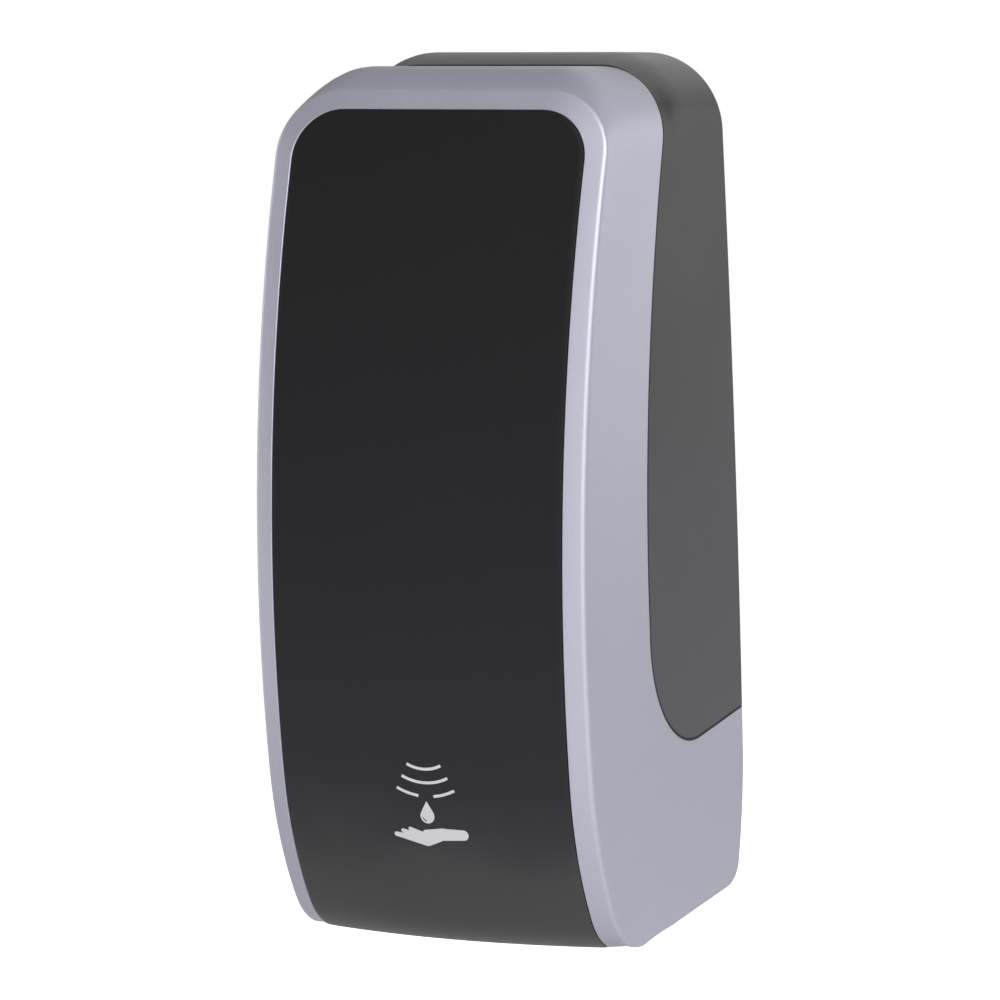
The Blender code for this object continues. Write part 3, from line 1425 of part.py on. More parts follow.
def pump_housing():
    """Plate with the curved track that the rollers press the hose against."""
    low = FLOOR_HEIGHT + GAP
    back = PUMP_BACK
    face = back + PUMP_PLATE
    shape = block((-PUMP_HALF_WIDTH, PUMP_HALF_WIDTH), (back, face),
                  (low, PUMP_HEIGHT + PUMP_TOP))
    outer = track_radius() + TRACK_WALL
    steps = 16
    points = []
    for radius, order in ((track_radius(), range(steps + 1)), (outer, range(steps, -1, -1))):
        for k in order:
            angle = TRACK_END_ANGLE + (2.0 * math.pi - 2.0 * TRACK_END_ANGLE) * k / steps
            points.append((radius * math.cos(angle), PUMP_HEIGHT + radius * math.sin(angle)))
    shape = fuse(shape, front_prism(points, (face - CUT, face + TRACK_DEPTH)))
    for spot in post_spots():
        post = rod("depth", spot, POST_RADIUS, (face - CUT, face + TRACK_DEPTH), SMALL_STEPS)
        hole = rod("depth", spot, PUMP_SCREW_RADIUS + GAP,
                   (cover_back() + PUMP_COVER - PUMP_SCREW_LENGTH - GAP,
                    face + TRACK_DEPTH + CUT), SMALL_STEPS)
        shape = fuse(shape, cut(post, hole))
    shape = cut(shape, rod("depth", (0.0, PUMP_HEIGHT), SHAFT_RADIUS + GAP,
                           (back - CUT, face + CUT)))
    axle = compound_spot()
    shape = cut(shape, rod("depth", axle, AXLE_RADIUS + GAP, (back - CUT, face - CUT),
                           SMALL_STEPS))
    return node("pump_housing", shape, WHITE)


def pump_cover():
    """Clear cover over the rollers."""
    shape = block((-PUMP_HALF_WIDTH, PUMP_HALF_WIDTH), (cover_back(), cover_back() + PUMP_COVER),
                  (PUMP_HEIGHT - POST_DOWN - POST_RADIUS, PUMP_HEIGHT + PUMP_TOP))
    for spot in post_spots():
        shape = cut(shape, rod("depth", spot, PUMP_SCREW_RADIUS + GAP,
                               (cover_back() - CUT, cover_back() + PUMP_COVER + CUT),
                               SMALL_STEPS))
    return node("pump_cover", shape, CLEAR)


def pump_screws():
    for count, spot in enumerate(post_spots(), 1):
        seat = cover_back() + PUMP_COVER + GAP
        shape = screw_shape("depth", spot, PUMP_SCREW_HEAD, PUMP_SCREW_RADIUS, seat,
                            seat - PUMP_SCREW_LENGTH, 1)
        node(f"pump_screw_{count}", shape, STEEL)


def roller_spot(count):
    angle = math.pi / 2 + 2.0 * math.pi * count / ROLLER_COUNT
    return (ROLLER_CIRCLE * math.cos(angle), PUMP_HEIGHT + ROLLER_CIRCLE * math.sin(angle))


def rotor(carrier):
    """Two discs on a hub, with the pins that the rollers turn on."""
    middle = pump_middle()
    inner = ROLLER_LENGTH / 2 + GAP
    outer = inner + ROTOR_DISC_THICKNESS
    shape = rod("depth", (0.0, PUMP_HEIGHT), ROTOR_HUB, (middle - outer + CUT,
                                                         middle + outer - CUT))
    for side in (-1, 1):
        shape = fuse(shape, rod("depth", (0.0, PUMP_HEIGHT), ROTOR_DISC,
                                sorted((middle + side * inner, middle + side * outer))))
    for count in range(ROLLER_COUNT):
        shape = fuse(shape, rod("depth", roller_spot(count), ROLLER_PIN,
                                (middle - inner - CUT, middle + inner + CUT), SMALL_STEPS))
    bore = rod("depth", (0.0, PUMP_HEIGHT), SHAFT_RADIUS + GAP,
               (middle - outer - CUT, middle + outer + CUT))
    return node("rotor", cut(shape, bore), ACETAL, carrier)


def roller(count, carrier):
    middle = pump_middle()
    spot = roller_spot(count)
    low, high = middle - ROLLER_LENGTH / 2, middle + ROLLER_LENGTH / 2
    shape = turned([(ROLLER_BORE, low), (ROLLER_RADIUS, low), (ROLLER_RADIUS, high),
                    (ROLLER_BORE, high), (ROLLER_BORE, low)], "depth", spot, CELL_STEPS)
    return node(f"roller_{count + 1}", shape, STEEL, carrier)


def hose_points():
    """Middle line of the hose from the socket round the rollers to the nozzle."""
    depth = pump_middle()
    circle = tube_circle()
    top = PUMP_HEIGHT + circle
    low = PUMP_HEIGHT - circle
    start = socket_floor() - SOCKET_FLOOR - GAP
    points = [(BARB_ACROSS, start), (BARB_ACROSS, (start + top + TUBE_BEND) / 2)]
    steps = 5
    for k in range(steps + 1):
        angle = math.pi / 2 * k / steps
        points.append((BARB_ACROSS - TUBE_BEND * (1.0 - math.cos(angle)),
                       top + TUBE_BEND * (1.0 - math.sin(angle))))
    steps = 16
    for k in range(steps + 1):
        angle = math.pi / 2 + math.pi * k / steps
        points.append((circle * math.cos(angle), PUMP_HEIGHT + circle * math.sin(angle)))
    bend = TUBE_LOW_BEND
    swing = TUBE_SWING
    steps = 9
    for k in range(1, steps + 1):
        angle = (math.pi / 2 + swing) * k / steps
        points.append((bend * math.sin(angle), low - bend * (1.0 - math.cos(angle))))
    x, z = points[-1]
    steps = 4
    for k in range(1, steps + 1):
        angle = swing * (1.0 - k / steps)
        points.append((x - bend * (math.cos(angle) - math.cos(swing)),
                       z - bend * (math.sin(swing) - math.sin(angle))))
    points.append((0.0, hose_end()))
    return [place(x, depth, z) for x, z in points]


def hose_end():
    return FLOOR_HEIGHT + GAP + NOZZLE_FLANGE_THICKNESS + GAP


def pump_hose():
    """Hose, pressed flat between the track and the circle that the rollers sweep."""
    points = hose_points()
    reach = ROLLER_CIRCLE + ROLLER_RADIUS + GAP

    def section(k):
        point = points[k]
        away = math.hypot(point.x, point.z - PUMP_HEIGHT) - reach
        half = min(max(away, TUBE_FLAT_HALF), TUBE_RADIUS)
        share = (TUBE_RADIUS - half) / (TUBE_RADIUS - TUBE_FLAT_HALF)
        return half, TUBE_RADIUS + (TUBE_FLAT_WIDTH - TUBE_RADIUS) * share
    shape = sweep(points, section, TUBE_SIDES)
    ends = ((BARB_ACROSS, points[0].z + CUT, points[0].z - BARB_LENGTH - GAP),
            (0.0, points[-1].z - CUT, points[-1].z + BARB_LENGTH + GAP))
    for across, start, stop in ends:
        shape = cut(shape, rod("Z", (across, pump_middle()), TUBE_BORE, sorted((start, stop)),
                               SMALL_STEPS))
    return node("pump_hose", shape, SILICONE)


def rotor_shaft(carrier):
    start = GEARBOX_BACK + GEARBOX_WALL / 2
    stop = pump_middle() + ROLLER_LENGTH / 2 + GAP + ROTOR_DISC_THICKNESS
    shape = rod("depth", (0.0, PUMP_HEIGHT), SHAFT_RADIUS, (start, stop))
    return node("rotor_shaft", shape, STEEL, carrier)


# Gears and motor

def gear_outline(teeth, centre, first_tooth):
    """Outline of a spur gear with involute flanks, thinned for backlash."""
    pitch = GEAR_MODULE * teeth / 2
    base = pitch * math.cos(PRESSURE_ANGLE)
    tip = pitch + TOOTH_TIP_SHARE * GEAR_MODULE
    root = pitch - TOOTH_ROOT_SHARE * GEAR_MODULE
    spread = math.tan(PRESSURE_ANGLE) - PRESSURE_ANGLE
    half = math.pi / (2 * teeth) - GEAR_BACKLASH / (2.0 * pitch)

    def flank(radius):
        angle = math.acos(min(base / radius, 1.0))
        return half + spread - (math.tan(angle) - angle)
    points = []
    for tooth in range(teeth):
        middle = first_tooth + 2.0 * math.pi * tooth / teeth
        right = [(root, half + spread), (pitch, flank(pitch)), (tip, flank(tip))]
        for radius, offset in right:
            points.append((radius, middle - offset))
        for radius, offset in reversed(right):
            points.append((radius, middle + offset))
    return [(centre[0] + r * math.cos(a), centre[1] + r * math.sin(a)) for r, a in points]


def compound_spot():
    reach = GEAR_MODULE * (OUTPUT_TEETH + SMALL_TEETH) / 2
    return (reach * math.cos(COMPOUND_ANGLE), PUMP_HEIGHT + reach * math.sin(COMPOUND_ANGLE))


def pinion_spot():
    reach = GEAR_MODULE * (WHEEL_TEETH + PINION_TEETH) / 2
    x, z = compound_spot()
    return (x + reach * math.cos(PINION_ANGLE), z + reach * math.sin(PINION_ANGLE))


def wheel_span():
    start = GEARBOX_BACK + GEARBOX_WALL + GEAR_SIDE_GAP
    return start, start + WHEEL_WIDTH


def output_span():
    stop = PUMP_BACK - GEAR_SIDE_GAP
    return stop - OUTPUT_GEAR_WIDTH, stop


def output_gear(carrier):
    """Gear on the rotor's shaft; one of its teeth points at the small gear."""
    outline = gear_outline(OUTPUT_TEETH, (0.0, PUMP_HEIGHT), COMPOUND_ANGLE)
    shape = front_prism(outline, output_span())
    bore = rod("depth", (0.0, PUMP_HEIGHT), SHAFT_RADIUS + GAP,
               (output_span()[0] - CUT, output_span()[1] + CUT))
    return node("output_gear", cut(shape, bore), ACETAL, carrier)


def compound_gear(carrier):
    """Wheel and small gear in one piece, between the motor's pinion and the output gear."""
    spot = compound_spot()
    small_first = COMPOUND_ANGLE + math.pi + math.pi / SMALL_TEETH
    wheel = front_prism(gear_outline(WHEEL_TEETH, spot, PINION_ANGLE), wheel_span())
    small = front_prism(gear_outline(SMALL_TEETH, spot, small_first),
                        (wheel_span()[1] - CUT, output_span()[1]))
    bore = rod("depth", spot, AXLE_RADIUS + GEAR_BORE_PLAY,
               (wheel_span()[0] - CUT, output_span()[1] + CUT), SMALL_STEPS)
    return node("compound_gear", cut(fuse(wheel, small), bore), ACETAL, carrier)


def motor_pinion(carrier):
    """Pinion on the motor's own shaft."""
    spot = pinion_spot()
    first = PINION_ANGLE + math.pi + math.pi / PINION_TEETH
    gear = front_prism(gear_outline(PINION_TEETH, spot, first), wheel_span())
    shaft = rod("depth", spot, MOTOR_SHAFT, (motor_middle(), wheel_span()[1] + CUT),
                SMALL_STEPS)
    return node("motor_pinion", fuse(gear, shaft), STEEL, carrier)


def compound_axle():
    start = GEARBOX_BACK + GAP
    shape = rod("depth", compound_spot(), AXLE_RADIUS, (start, PUMP_BACK + PUMP_PLATE - CUT - GAP),
                SMALL_STEPS)
    return node("compound_axle", shape, STEEL)


def gearbox_housing():
    """Tray behind the pump plate that holds the gears and the motor."""
    tip = TOOTH_TIP_SHARE * GEAR_MODULE + GEARBOX_MARGIN
    out_r = GEAR_MODULE * OUTPUT_TEETH / 2 + tip
    wheel_r = GEAR_MODULE * WHEEL_TEETH / 2 + tip
    pinion_r = GEAR_MODULE * PINION_TEETH / 2 + tip
    cx, cz = compound_spot()
    px, pz = pinion_spot()
    left = min(-out_r, cx - wheel_r)
    right = max(out_r, cx + wheel_r, px + pinion_r)
    low = cz - wheel_r
    high = max(PUMP_HEIGHT + out_r, pz + pinion_r)
    wall = GEARBOX_WALL
    shape = block((left - wall, right + wall), (GEARBOX_BACK, PUMP_BACK - GAP),
                  (low - wall, high + wall))
    shape = cut(shape, block((left, right), (GEARBOX_BACK + wall, PUMP_BACK + CUT),
                             (low, high)))
    shape = cut(shape, rod("depth", (0.0, PUMP_HEIGHT), SHAFT_RADIUS + GAP,
                           (GEARBOX_BACK + wall / 2 - GAP, GEARBOX_BACK + wall + CUT)))
    shape = cut(shape, rod("depth", (cx, cz), AXLE_RADIUS + GAP,
                           (GEARBOX_BACK - CUT, GEARBOX_BACK + wall + CUT), SMALL_STEPS))
    shape = cut(shape, rod("depth", (px, pz), MOTOR_NOSE + GAP,
                           (GEARBOX_BACK - CUT, GEARBOX_BACK + wall + CUT), SMALL_STEPS))
    return node("gearbox_housing", shape, LIGHT_GREY)


def motor_back():
    """The motor fills the room behind the gearbox but for a gap in front of the chassis."""
    return chassis_back() + CHASSIS_WALL + MOTOR_REAR_GAP


def motor_front():
    return GEARBOX_BACK - GAP


def motor_middle():
    return (motor_back() + motor_front()) / 2


def motor():
    """Small direct-current motor with two flats on its can."""
    spot = pinion_spot()
    back = motor_back()
    front = motor_front()
    can = rod("depth", spot, MOTOR_RADIUS, (back + MOTOR_CAP, front))
    flats = block((spot[0] - MOTOR_RADIUS - CUT, spot[0] + MOTOR_RADIUS + CUT),
                  (back - CUT, front + CUT),
                  (spot[1] - MOTOR_FLAT_HALF, spot[1] + MOTOR_FLAT_HALF))
    shape = keep(can, flats)
    cap = rod("depth", spot, MOTOR_FLAT_HALF - CUT, (back, back + 2.0 * MOTOR_CAP),
              MEDIUM_STEPS)
    nose = rod("depth", spot, MOTOR_NOSE, (front - CUT, front + GAP + GEARBOX_WALL), SMALL_STEPS)
    shape = fuse(shape, cap, nose)
    shape = cut(shape, rod("depth", spot, MOTOR_SHAFT + GAP,
                           (motor_middle() - GAP, front + GEARBOX_WALL + CUT),
                           SMALL_STEPS))
    return node("motor", shape, STEEL)


# Outlet and sensor

def nozzle():
    """Outlet nozzle that hangs in the floor on its flange."""
    low = SIDE.underside(OUTLET_DEPTH) + NOZZLE_RECESS
    flange_low = FLOOR_HEIGHT + GAP
    flange_top = flange_low + NOZZLE_FLANGE_THICKNESS
    barb_top = flange_top + GAP + BARB_LENGTH
    step = low + NOZZLE_TIP_LENGTH
    profile = [(NOZZLE_BORE, low), (NOZZLE_TIP, low), (NOZZLE_TIP, step), (NOZZLE_STEM, step),
               (NOZZLE_STEM, flange_low), (NOZZLE_FLANGE, flange_low),
               (NOZZLE_FLANGE, flange_top), (BARB_RADIUS, flange_top), (BARB_RADIUS, barb_top),
               (NOZZLE_BORE / 2, barb_top), (NOZZLE_BORE / 2, flange_low), (NOZZLE_BORE, low)]
    shape = turned(profile, "Z", (0.0, OUTLET_DEPTH), MEDIUM_STEPS)
    return node("nozzle", shape, BLACK)


def shroud_top():
    return FLOOR_HEIGHT - FLOOR_THICKNESS - GAP


def shroud_floor(depth):
    """Underside of the shroud at a depth: straight, and just inside the cover's underside."""
    back, front = SIDE.underside(SHROUD_BACK), SIDE.underside(SHROUD_FRONT)
    share = (depth - SHROUD_BACK) / (SHROUD_FRONT - SHROUD_BACK)
    return back + (front - back) * share + SHROUD_RECESS


def nozzle_shroud():
    """Open-topped nose that fills the cover's opening round the nozzle and the sensor."""
    wall = SHROUD_WALL
    half = SHROUD_HALF_WIDTH
    low_back, low_front = shroud_floor(SHROUD_BACK), shroud_floor(SHROUD_FRONT)
    outer = side_prism([(SHROUD_BACK, shroud_top()), (SHROUD_FRONT, shroud_top()),
                        (SHROUD_FRONT, low_front), (SHROUD_BACK, low_back)], (-half, half))
    inner = side_prism([(SHROUD_BACK + wall, shroud_top() + CUT),
                        (SHROUD_FRONT - wall, shroud_top() + CUT),
                        (SHROUD_FRONT - wall, low_front + wall),
                        (SHROUD_BACK + wall, low_back + wall)], (-half + wall, half - wall))
    shape = cut(outer, inner)
    shape = cut(shape, rod("Z", (0.0, OUTLET_DEPTH), SHROUD_MOUTH,
                           (low_front - BOSS_RADIUS, low_back + BOSS_RADIUS)))
    shape = cut(shape, block((-SENSOR_WINDOW_HALF_WIDTH, SENSOR_WINDOW_HALF_WIDTH),
                             (SENSOR_DEPTH - SENSOR_WINDOW_HALF_DEPTH,
                              SENSOR_DEPTH + SENSOR_WINDOW_HALF_DEPTH),
                             (low_front - BOSS_RADIUS, low_back + BOSS_RADIUS)))
    return node("nozzle_shroud", shape, BLACK)


def sensor_lens():
    """Dark window over the sensor, lying on the shroud's floor."""
    near = SENSOR_DEPTH - SENSOR_WINDOW_HALF_DEPTH - LENS_MARGIN
    far = SENSOR_DEPTH + SENSOR_WINDOW_HALF_DEPTH + LENS_MARGIN
    lift = SHROUD_WALL + GAP
    points = [(near, shroud_floor(near) + lift), (far, shroud_floor(far) + lift),
              (far, shroud_floor(far) + lift + LENS_THICKNESS),
              (near, shroud_floor(near) + lift + LENS_THICKNESS)]
    half = SENSOR_WINDOW_HALF_WIDTH + LENS_MARGIN
    return node("sensor_lens", side_prism(points, (-half, half)), SMOKED)


def sensor_block():
    """Holder under the floor for the sender and the receiver."""
    top = shroud_top()
    near, far = SENSOR_DEPTH - SENSOR_BLOCK_HALF_DEPTH, SENSOR_DEPTH + SENSOR_BLOCK_HALF_DEPTH
    shape = block((-SENSOR_BLOCK_HALF_WIDTH, SENSOR_BLOCK_HALF_WIDTH), (near, far),
                  (top - SENSOR_BLOCK_HEIGHT, top))
    for side in (-1, 1):
        shape = cut(shape, rod("Z", (side * SENSOR_PITCH / 2, SENSOR_DEPTH), LED_RADIUS + GAP,
                               (top - SENSOR_BLOCK_HEIGHT - CUT, top + CUT), MEDIUM_STEPS))
    return node("sensor_block", shape, BLACK)


def sensor_diodes():
    top = shroud_top() - SENSOR_BLOCK_HEIGHT + LED_LENGTH / 2
    for name, side, look in (("sensor_sender", -1, CLEAR), ("sensor_receiver", 1, BLACK)):
        spot = (side * SENSOR_PITCH / 2, SENSOR_DEPTH)
        low = top - LED_LENGTH
        dome = [(0.0, low)]
        for k in range(1, 5):
            angle = math.pi / 2 * k / 4
            dome.append((LED_RADIUS * math.sin(angle), low + LED_RADIUS * (1.0 - math.cos(angle))))
        dome += [(LED_RADIUS, top), (0.0, top)]
        node(name, turned(dome, "Z", spot, MEDIUM_STEPS), look)


# Batteries

def box_inner_half():
    return CELL_PITCH / 2 + CELL_RADIUS + GAP


def box_front():
    return BOX_BACK + BOX_WALL + 2.0 * box_inner_half()


def box_floor():
    return FLOOR_HEIGHT + GAP + BOX_WALL


def box_inner_height():
    return CELL_LENGTH + CELL_NUB_LENGTH + 2.0 * CONTACT_ROOM


def box_centre():
    """Middle of the box, in the room between the left gusset and the cover's wall."""
    half = box_inner_half() + BOX_WALL
    wall = rear_half(FLOOR_HEIGHT) - COVER_WALL
    spare = wall + GUSSET_LEFT - 2.0 * half
    return GUSSET_LEFT - spare * BOX_PLACE_SHARE - half


def door_axis():
    """Across and depth of the battery door's upright hinge."""
    return (box_centre() - box_inner_half() - BOX_WALL + DOOR_HINGE_OUT,
            box_front() + DOOR_HINGE_FORWARD)


def battery_box():
    """Open-fronted box with the ears for its door."""
    middle = box_centre()
    half = box_inner_half()
    low = box_floor()
    high = low + box_inner_height()
    shape = block((middle - half - BOX_WALL, middle + half + BOX_WALL),
                  (BOX_BACK, box_front()), (low - BOX_WALL, high + BOX_WALL))
    shape = cut(shape, block((middle - half, middle + half),
                             (BOX_BACK + BOX_WALL, box_front() + CUT), (low, high)))
    x, depth = door_axis()
    for bottom, top in ((low - BOX_WALL, low - BOX_WALL + DOOR_EAR),
                        (high + BOX_WALL - DOOR_EAR, high + BOX_WALL)):
        ear = block((middle - half - BOX_WALL, x + DOOR_EAR_REACH),
                    (box_front() - CUT, depth + DOOR_BARREL + GAP), (bottom, top))
        shape = fuse(shape, cut(ear, rod("Z", (x, depth), DOOR_PIN + GAP,
                                         (bottom - CUT, top + CUT), SMALL_STEPS)))
    return node("battery_box", shape, BLACK)


def battery_door(carrier):
    """Door of the battery box on an upright hinge at its outer edge."""
    right = box_centre() + box_inner_half() + BOX_WALL - GAP
    low = box_floor() - BOX_WALL + DOOR_EAR + GAP
    high = box_floor() + box_inner_height() + BOX_WALL - DOOR_EAR - GAP
    x, depth = door_axis()
    back = box_front() + GAP
    plate = block((x + DOOR_BARREL / 2, right), (back, back + DOOR_THICKNESS), (low, high))
    barrel = rod("Z", (x, depth), DOOR_BARREL, (low, high), SMALL_STEPS)
    bridge = block((x - GAP, x + 2.0 * DOOR_BARREL), (back + GAP, depth + GAP),
                   (low + CUT, high - CUT))
    pin = rod("Z", (x, depth), DOOR_PIN, (low - DOOR_EAR, high + DOOR_EAR), SMALL_STEPS)
    grip = block((right - 3.0 * DOOR_THICKNESS, right - 2.0 * DOOR_THICKNESS),
                 (back + DOOR_THICKNESS - GAP, back + 2.0 * DOOR_THICKNESS),
                 ((low + high) / 2 - CELL_RADIUS, (low + high) / 2 + CELL_RADIUS))
    return node("battery_door", fuse(plate, barrel, bridge, pin, grip), BLACK, carrier)


def batteries():
    count = 0
    for row in (-1, 1):
        for column in (-1, 1):
            count += 1
            spot = (box_centre() + column * CELL_PITCH / 2,
                    BOX_BACK + BOX_WALL + box_inner_half() + row * CELL_PITCH / 2)
            low = box_floor() + CONTACT_ROOM
            full = CELL_LENGTH + CELL_NUB_LENGTH
            profile = [(0.0, 0.0), (CELL_RADIUS - GAP, 0.0), (CELL_RADIUS, GAP),
                       (CELL_RADIUS, CELL_LENGTH - GAP), (CELL_RADIUS - GAP, CELL_LENGTH),
                       (CELL_NUB_RADIUS, CELL_LENGTH), (CELL_NUB_RADIUS, full), (0.0, full)]
            if row * column > 0:
                places = [(r, low + along) for r, along in profile]
            else:
                places = [(r, low + full - along) for r, along in profile]
            node(f"battery_{count}", turned(places, "Z", spot, CELL_STEPS), BLUE)


# Control panel

def panel_middle():
    return (PANEL_LEFT + PANEL_RIGHT) / 2


def control_panel():
    """Upright panel on a foot, with holes for the button, the dose switch and the lamp."""
    back = PANEL_FACE - PANEL_THICKNESS
    low = FLOOR_HEIGHT + GAP
    middle = panel_middle()
    shape = block((PANEL_LEFT, PANEL_RIGHT), (back, PANEL_FACE), (low, PANEL_TOP))
    foot_right = CHASSIS_HALF_WIDTH - 2.0 * CUT
    shape = fuse(shape, block((PANEL_LEFT + CUT, foot_right), (back - PANEL_FOOT, back + CUT),
                              (low + GAP / 2, low + PANEL_THICKNESS)))
    for height in (PANEL_TOP - PANEL_STANDOFF - BOARD_MARGIN, low + 3.0 * PANEL_THICKNESS):
        for x in (PANEL_LEFT + PANEL_STANDOFF, PANEL_RIGHT - PANEL_STANDOFF):
            shape = fuse(shape, rod("depth", (x, height), PANEL_STANDOFF - GAP,
                                    (BOARD_FACE + GAP, back + CUT), SMALL_STEPS))
    shape = cut(shape, rod("depth", (middle, BUTTON_HEIGHT), BUTTON_RADIUS + GAP,
                           (back - CUT, PANEL_FACE + CUT)))
    slot = block((middle - DOSE_HALF_WIDTH - GAP, middle + DOSE_HALF_WIDTH + GAP),
                 (back - CUT, PANEL_FACE + CUT),
                 (DOSE_HEIGHT - DOSE_TRAVEL - DOSE_HALF_HEIGHT - GAP,
                  DOSE_HEIGHT + DOSE_TRAVEL + DOSE_HALF_HEIGHT + GAP))
    lamp = rod("depth", (middle, LAMP_HEIGHT), LAMP_RADIUS + GAP, (back - CUT, PANEL_FACE + CUT),
               SMALL_STEPS)
    return node("control_panel", cut(shape, slot, lamp), WHITE)


def circuit_board():
    """Board behind the panel with the push switch, the slide switch, chips and a capacitor."""
    back = BOARD_FACE - BOARD_THICKNESS
    low = FLOOR_HEIGHT + GAP + PANEL_THICKNESS + BOARD_MARGIN
    middle = panel_middle()
    shape = block((PANEL_LEFT + BOARD_MARGIN - CUT, PANEL_RIGHT - BOARD_MARGIN + CUT),
                  (back, BOARD_FACE), (low, PANEL_TOP - BOARD_MARGIN + CUT))
    half = SWITCH_BODY_HALF
    push = block((middle - half, middle + half),
                 (BOARD_FACE - CUT, button_back() - BUTTON_TRAVEL - GAP),
                 (BUTTON_HEIGHT - half, BUTTON_HEIGHT + half))
    slide = block((middle - half, middle + half), (BOARD_FACE - CUT, dose_back() - GAP),
                  (DOSE_HEIGHT - 2.0 * half, DOSE_HEIGHT + 2.0 * half))
    lamp = block((middle - half / 2, middle + half / 2), (BOARD_FACE - CUT, lamp_back() - GAP),
                 (LAMP_HEIGHT - half / 2, LAMP_HEIGHT + half / 2))
    chip = block((middle - 2.0 * half, middle + 2.0 * half), (back - half / 2, back + CUT),
                 (DOSE_HEIGHT - 2.0 * half, DOSE_HEIGHT + 2.0 * half))
    plug = block((middle - 2.0 * half, middle + 2.0 * half), (back - 2.0 * half, back + CUT),
                 (LAMP_HEIGHT - half, LAMP_HEIGHT + half))
    can = rod("depth", (middle, BUTTON_HEIGHT), half, (back - 3.0 * half, back + CUT),
              SMALL_STEPS)
    return node("circuit_board", fuse(shape, push, slide, lamp, chip, plug, can), BOARD_GREEN)


def button_back():
    """Rear end of the button's stem."""
    return BOARD_FACE + SWITCH_BODY_HEIGHT + BUTTON_TRAVEL + GAP


def dose_back():
    return PANEL_FACE - PANEL_THICKNESS - GAP - DOSE_FLANGE


def lamp_back():
    return PANEL_FACE + LAMP_RADIUS / 2 - LAMP_LENGTH


def power_button(carrier):
    """On and off button, pushed towards the wall."""
    middle = panel_middle()
    back = PANEL_FACE - PANEL_THICKNESS - GAP
    cap = rod("depth", (middle, BUTTON_HEIGHT), BUTTON_RADIUS,
              (back - BUTTON_COLLAR, PANEL_FACE + BUTTON_STAND))
    collar = rod("depth", (middle, BUTTON_HEIGHT), BUTTON_RADIUS + BUTTON_COLLAR,
                 (back - BUTTON_COLLAR, back))
    stem = rod("depth", (middle, BUTTON_HEIGHT), BUTTON_STEM,
               (button_back(), back - BUTTON_COLLAR / 2), SMALL_STEPS)
    return node("power_button", fuse(cap, collar, stem), BLUE, carrier)


def dose_switch(carrier):
    """Three-place slide switch that sets the dose."""
    middle = panel_middle()
    back = dose_back()
    flange = block((middle - 2.0 * DOSE_HALF_WIDTH, middle + 2.0 * DOSE_HALF_WIDTH),
                   (back, back + DOSE_FLANGE),
                   (DOSE_HEIGHT - 2.0 * DOSE_HALF_HEIGHT, DOSE_HEIGHT + 2.0 * DOSE_HALF_HEIGHT))
    knob = block((middle - DOSE_HALF_WIDTH, middle + DOSE_HALF_WIDTH),
                 (back + DOSE_FLANGE / 2, PANEL_FACE + DOSE_STAND),
                 (DOSE_HEIGHT - DOSE_HALF_HEIGHT, DOSE_HEIGHT + DOSE_HALF_HEIGHT))
    return node("dose_switch", fuse(flange, knob), BLACK, carrier)


def status_lamp():
    """Domed lamp that sits in the panel from behind."""
    middle = panel_middle()
    back = PANEL_FACE - PANEL_THICKNESS - GAP
    dome = LAMP_RADIUS * LAMP_DOME_SHARE
    profile = [(0.0, lamp_back()), (LAMP_FLANGE, lamp_back()), (LAMP_FLANGE, back),
               (LAMP_RADIUS, back), (LAMP_RADIUS, PANEL_FACE),
               (dome, PANEL_FACE + LAMP_RADIUS / 2), (0.0, PANEL_FACE + dome)]
    shape = turned(profile, "depth", (middle, LAMP_HEIGHT), MEDIUM_STEPS)
    return node("status_lamp", shape, RED)


def build_cover():
    hinge = pivot("cover_hinge", place(0.0, HINGE_DEPTH, hinge_height()))
    front_frame(cover_blank(), hinge)
    rear_shell(cover_blank(), hinge)
    front_window(hinge)
    window_gasket(hinge)
    shell_screws(hinge)


def build_mount():
    wall_plate()
    hinge_pins()
    latch_guide()
    latch_spring()
    latch_slider(pivot("latch_travel", place(0.0, nose_back(), latch_top())))
    chassis()
    chassis_screws()


def build_tank():
    seat = pivot("tank_seat", place(0.0, OUTLET_DEPTH, tank_low()))
    refill_tank(seat)
    tank_seal(seat)
    valve_spring(seat)
    tank_lid(pivot("lid_hinge", place(0.0, *lid_axis())))
    valve_poppet(pivot("valve_seat", place(0.0, OUTLET_DEPTH, seat_top())))
    inlet_socket()


def build_pump():
    pump_housing()
    pump_cover()
    pump_screws()
    pump_hose()
    axis = pivot("rotor_axis", place(0.0, pump_middle(), PUMP_HEIGHT))
    rotor(axis)
    rotor_shaft(axis)
    output_gear(axis)
    for count in range(ROLLER_COUNT):
        x, z = roller_spot(count)
        roller(count, pivot(f"roller_axis_{count + 1}", place(x, pump_middle(), z)))
    x, z = compound_spot()
    compound_gear(pivot("compound_axis", place(x, PUMP_BACK, z)))
    compound_axle()
    x, z = pinion_spot()
    motor_pinion(pivot("motor_axis", place(x, GEARBOX_BACK, z)))
    gearbox_housing()
    motor()


def build_outlet():
    nozzle()
    nozzle_shroud()
    sensor_block()
    sensor_diodes()
    sensor_lens()


def build_power():
    battery_box()
    batteries()
    x, depth = door_axis()
    battery_door(pivot("door_hinge", place(x, depth, box_floor())))


def build_controls():
    control_panel()
    circuit_board()
    status_lamp()
    middle = panel_middle()
    power_button(pivot("button_travel", place(middle, PANEL_FACE, BUTTON_HEIGHT)))
    dose_switch(pivot("dose_travel", place(middle, PANEL_FACE, DOSE_HEIGHT)))


def main():
    clear_scene()
    build_cover()
    build_mount()
    build_tank()
    build_pump()
    build_outlet()
    build_power()
    build_controls()


main()
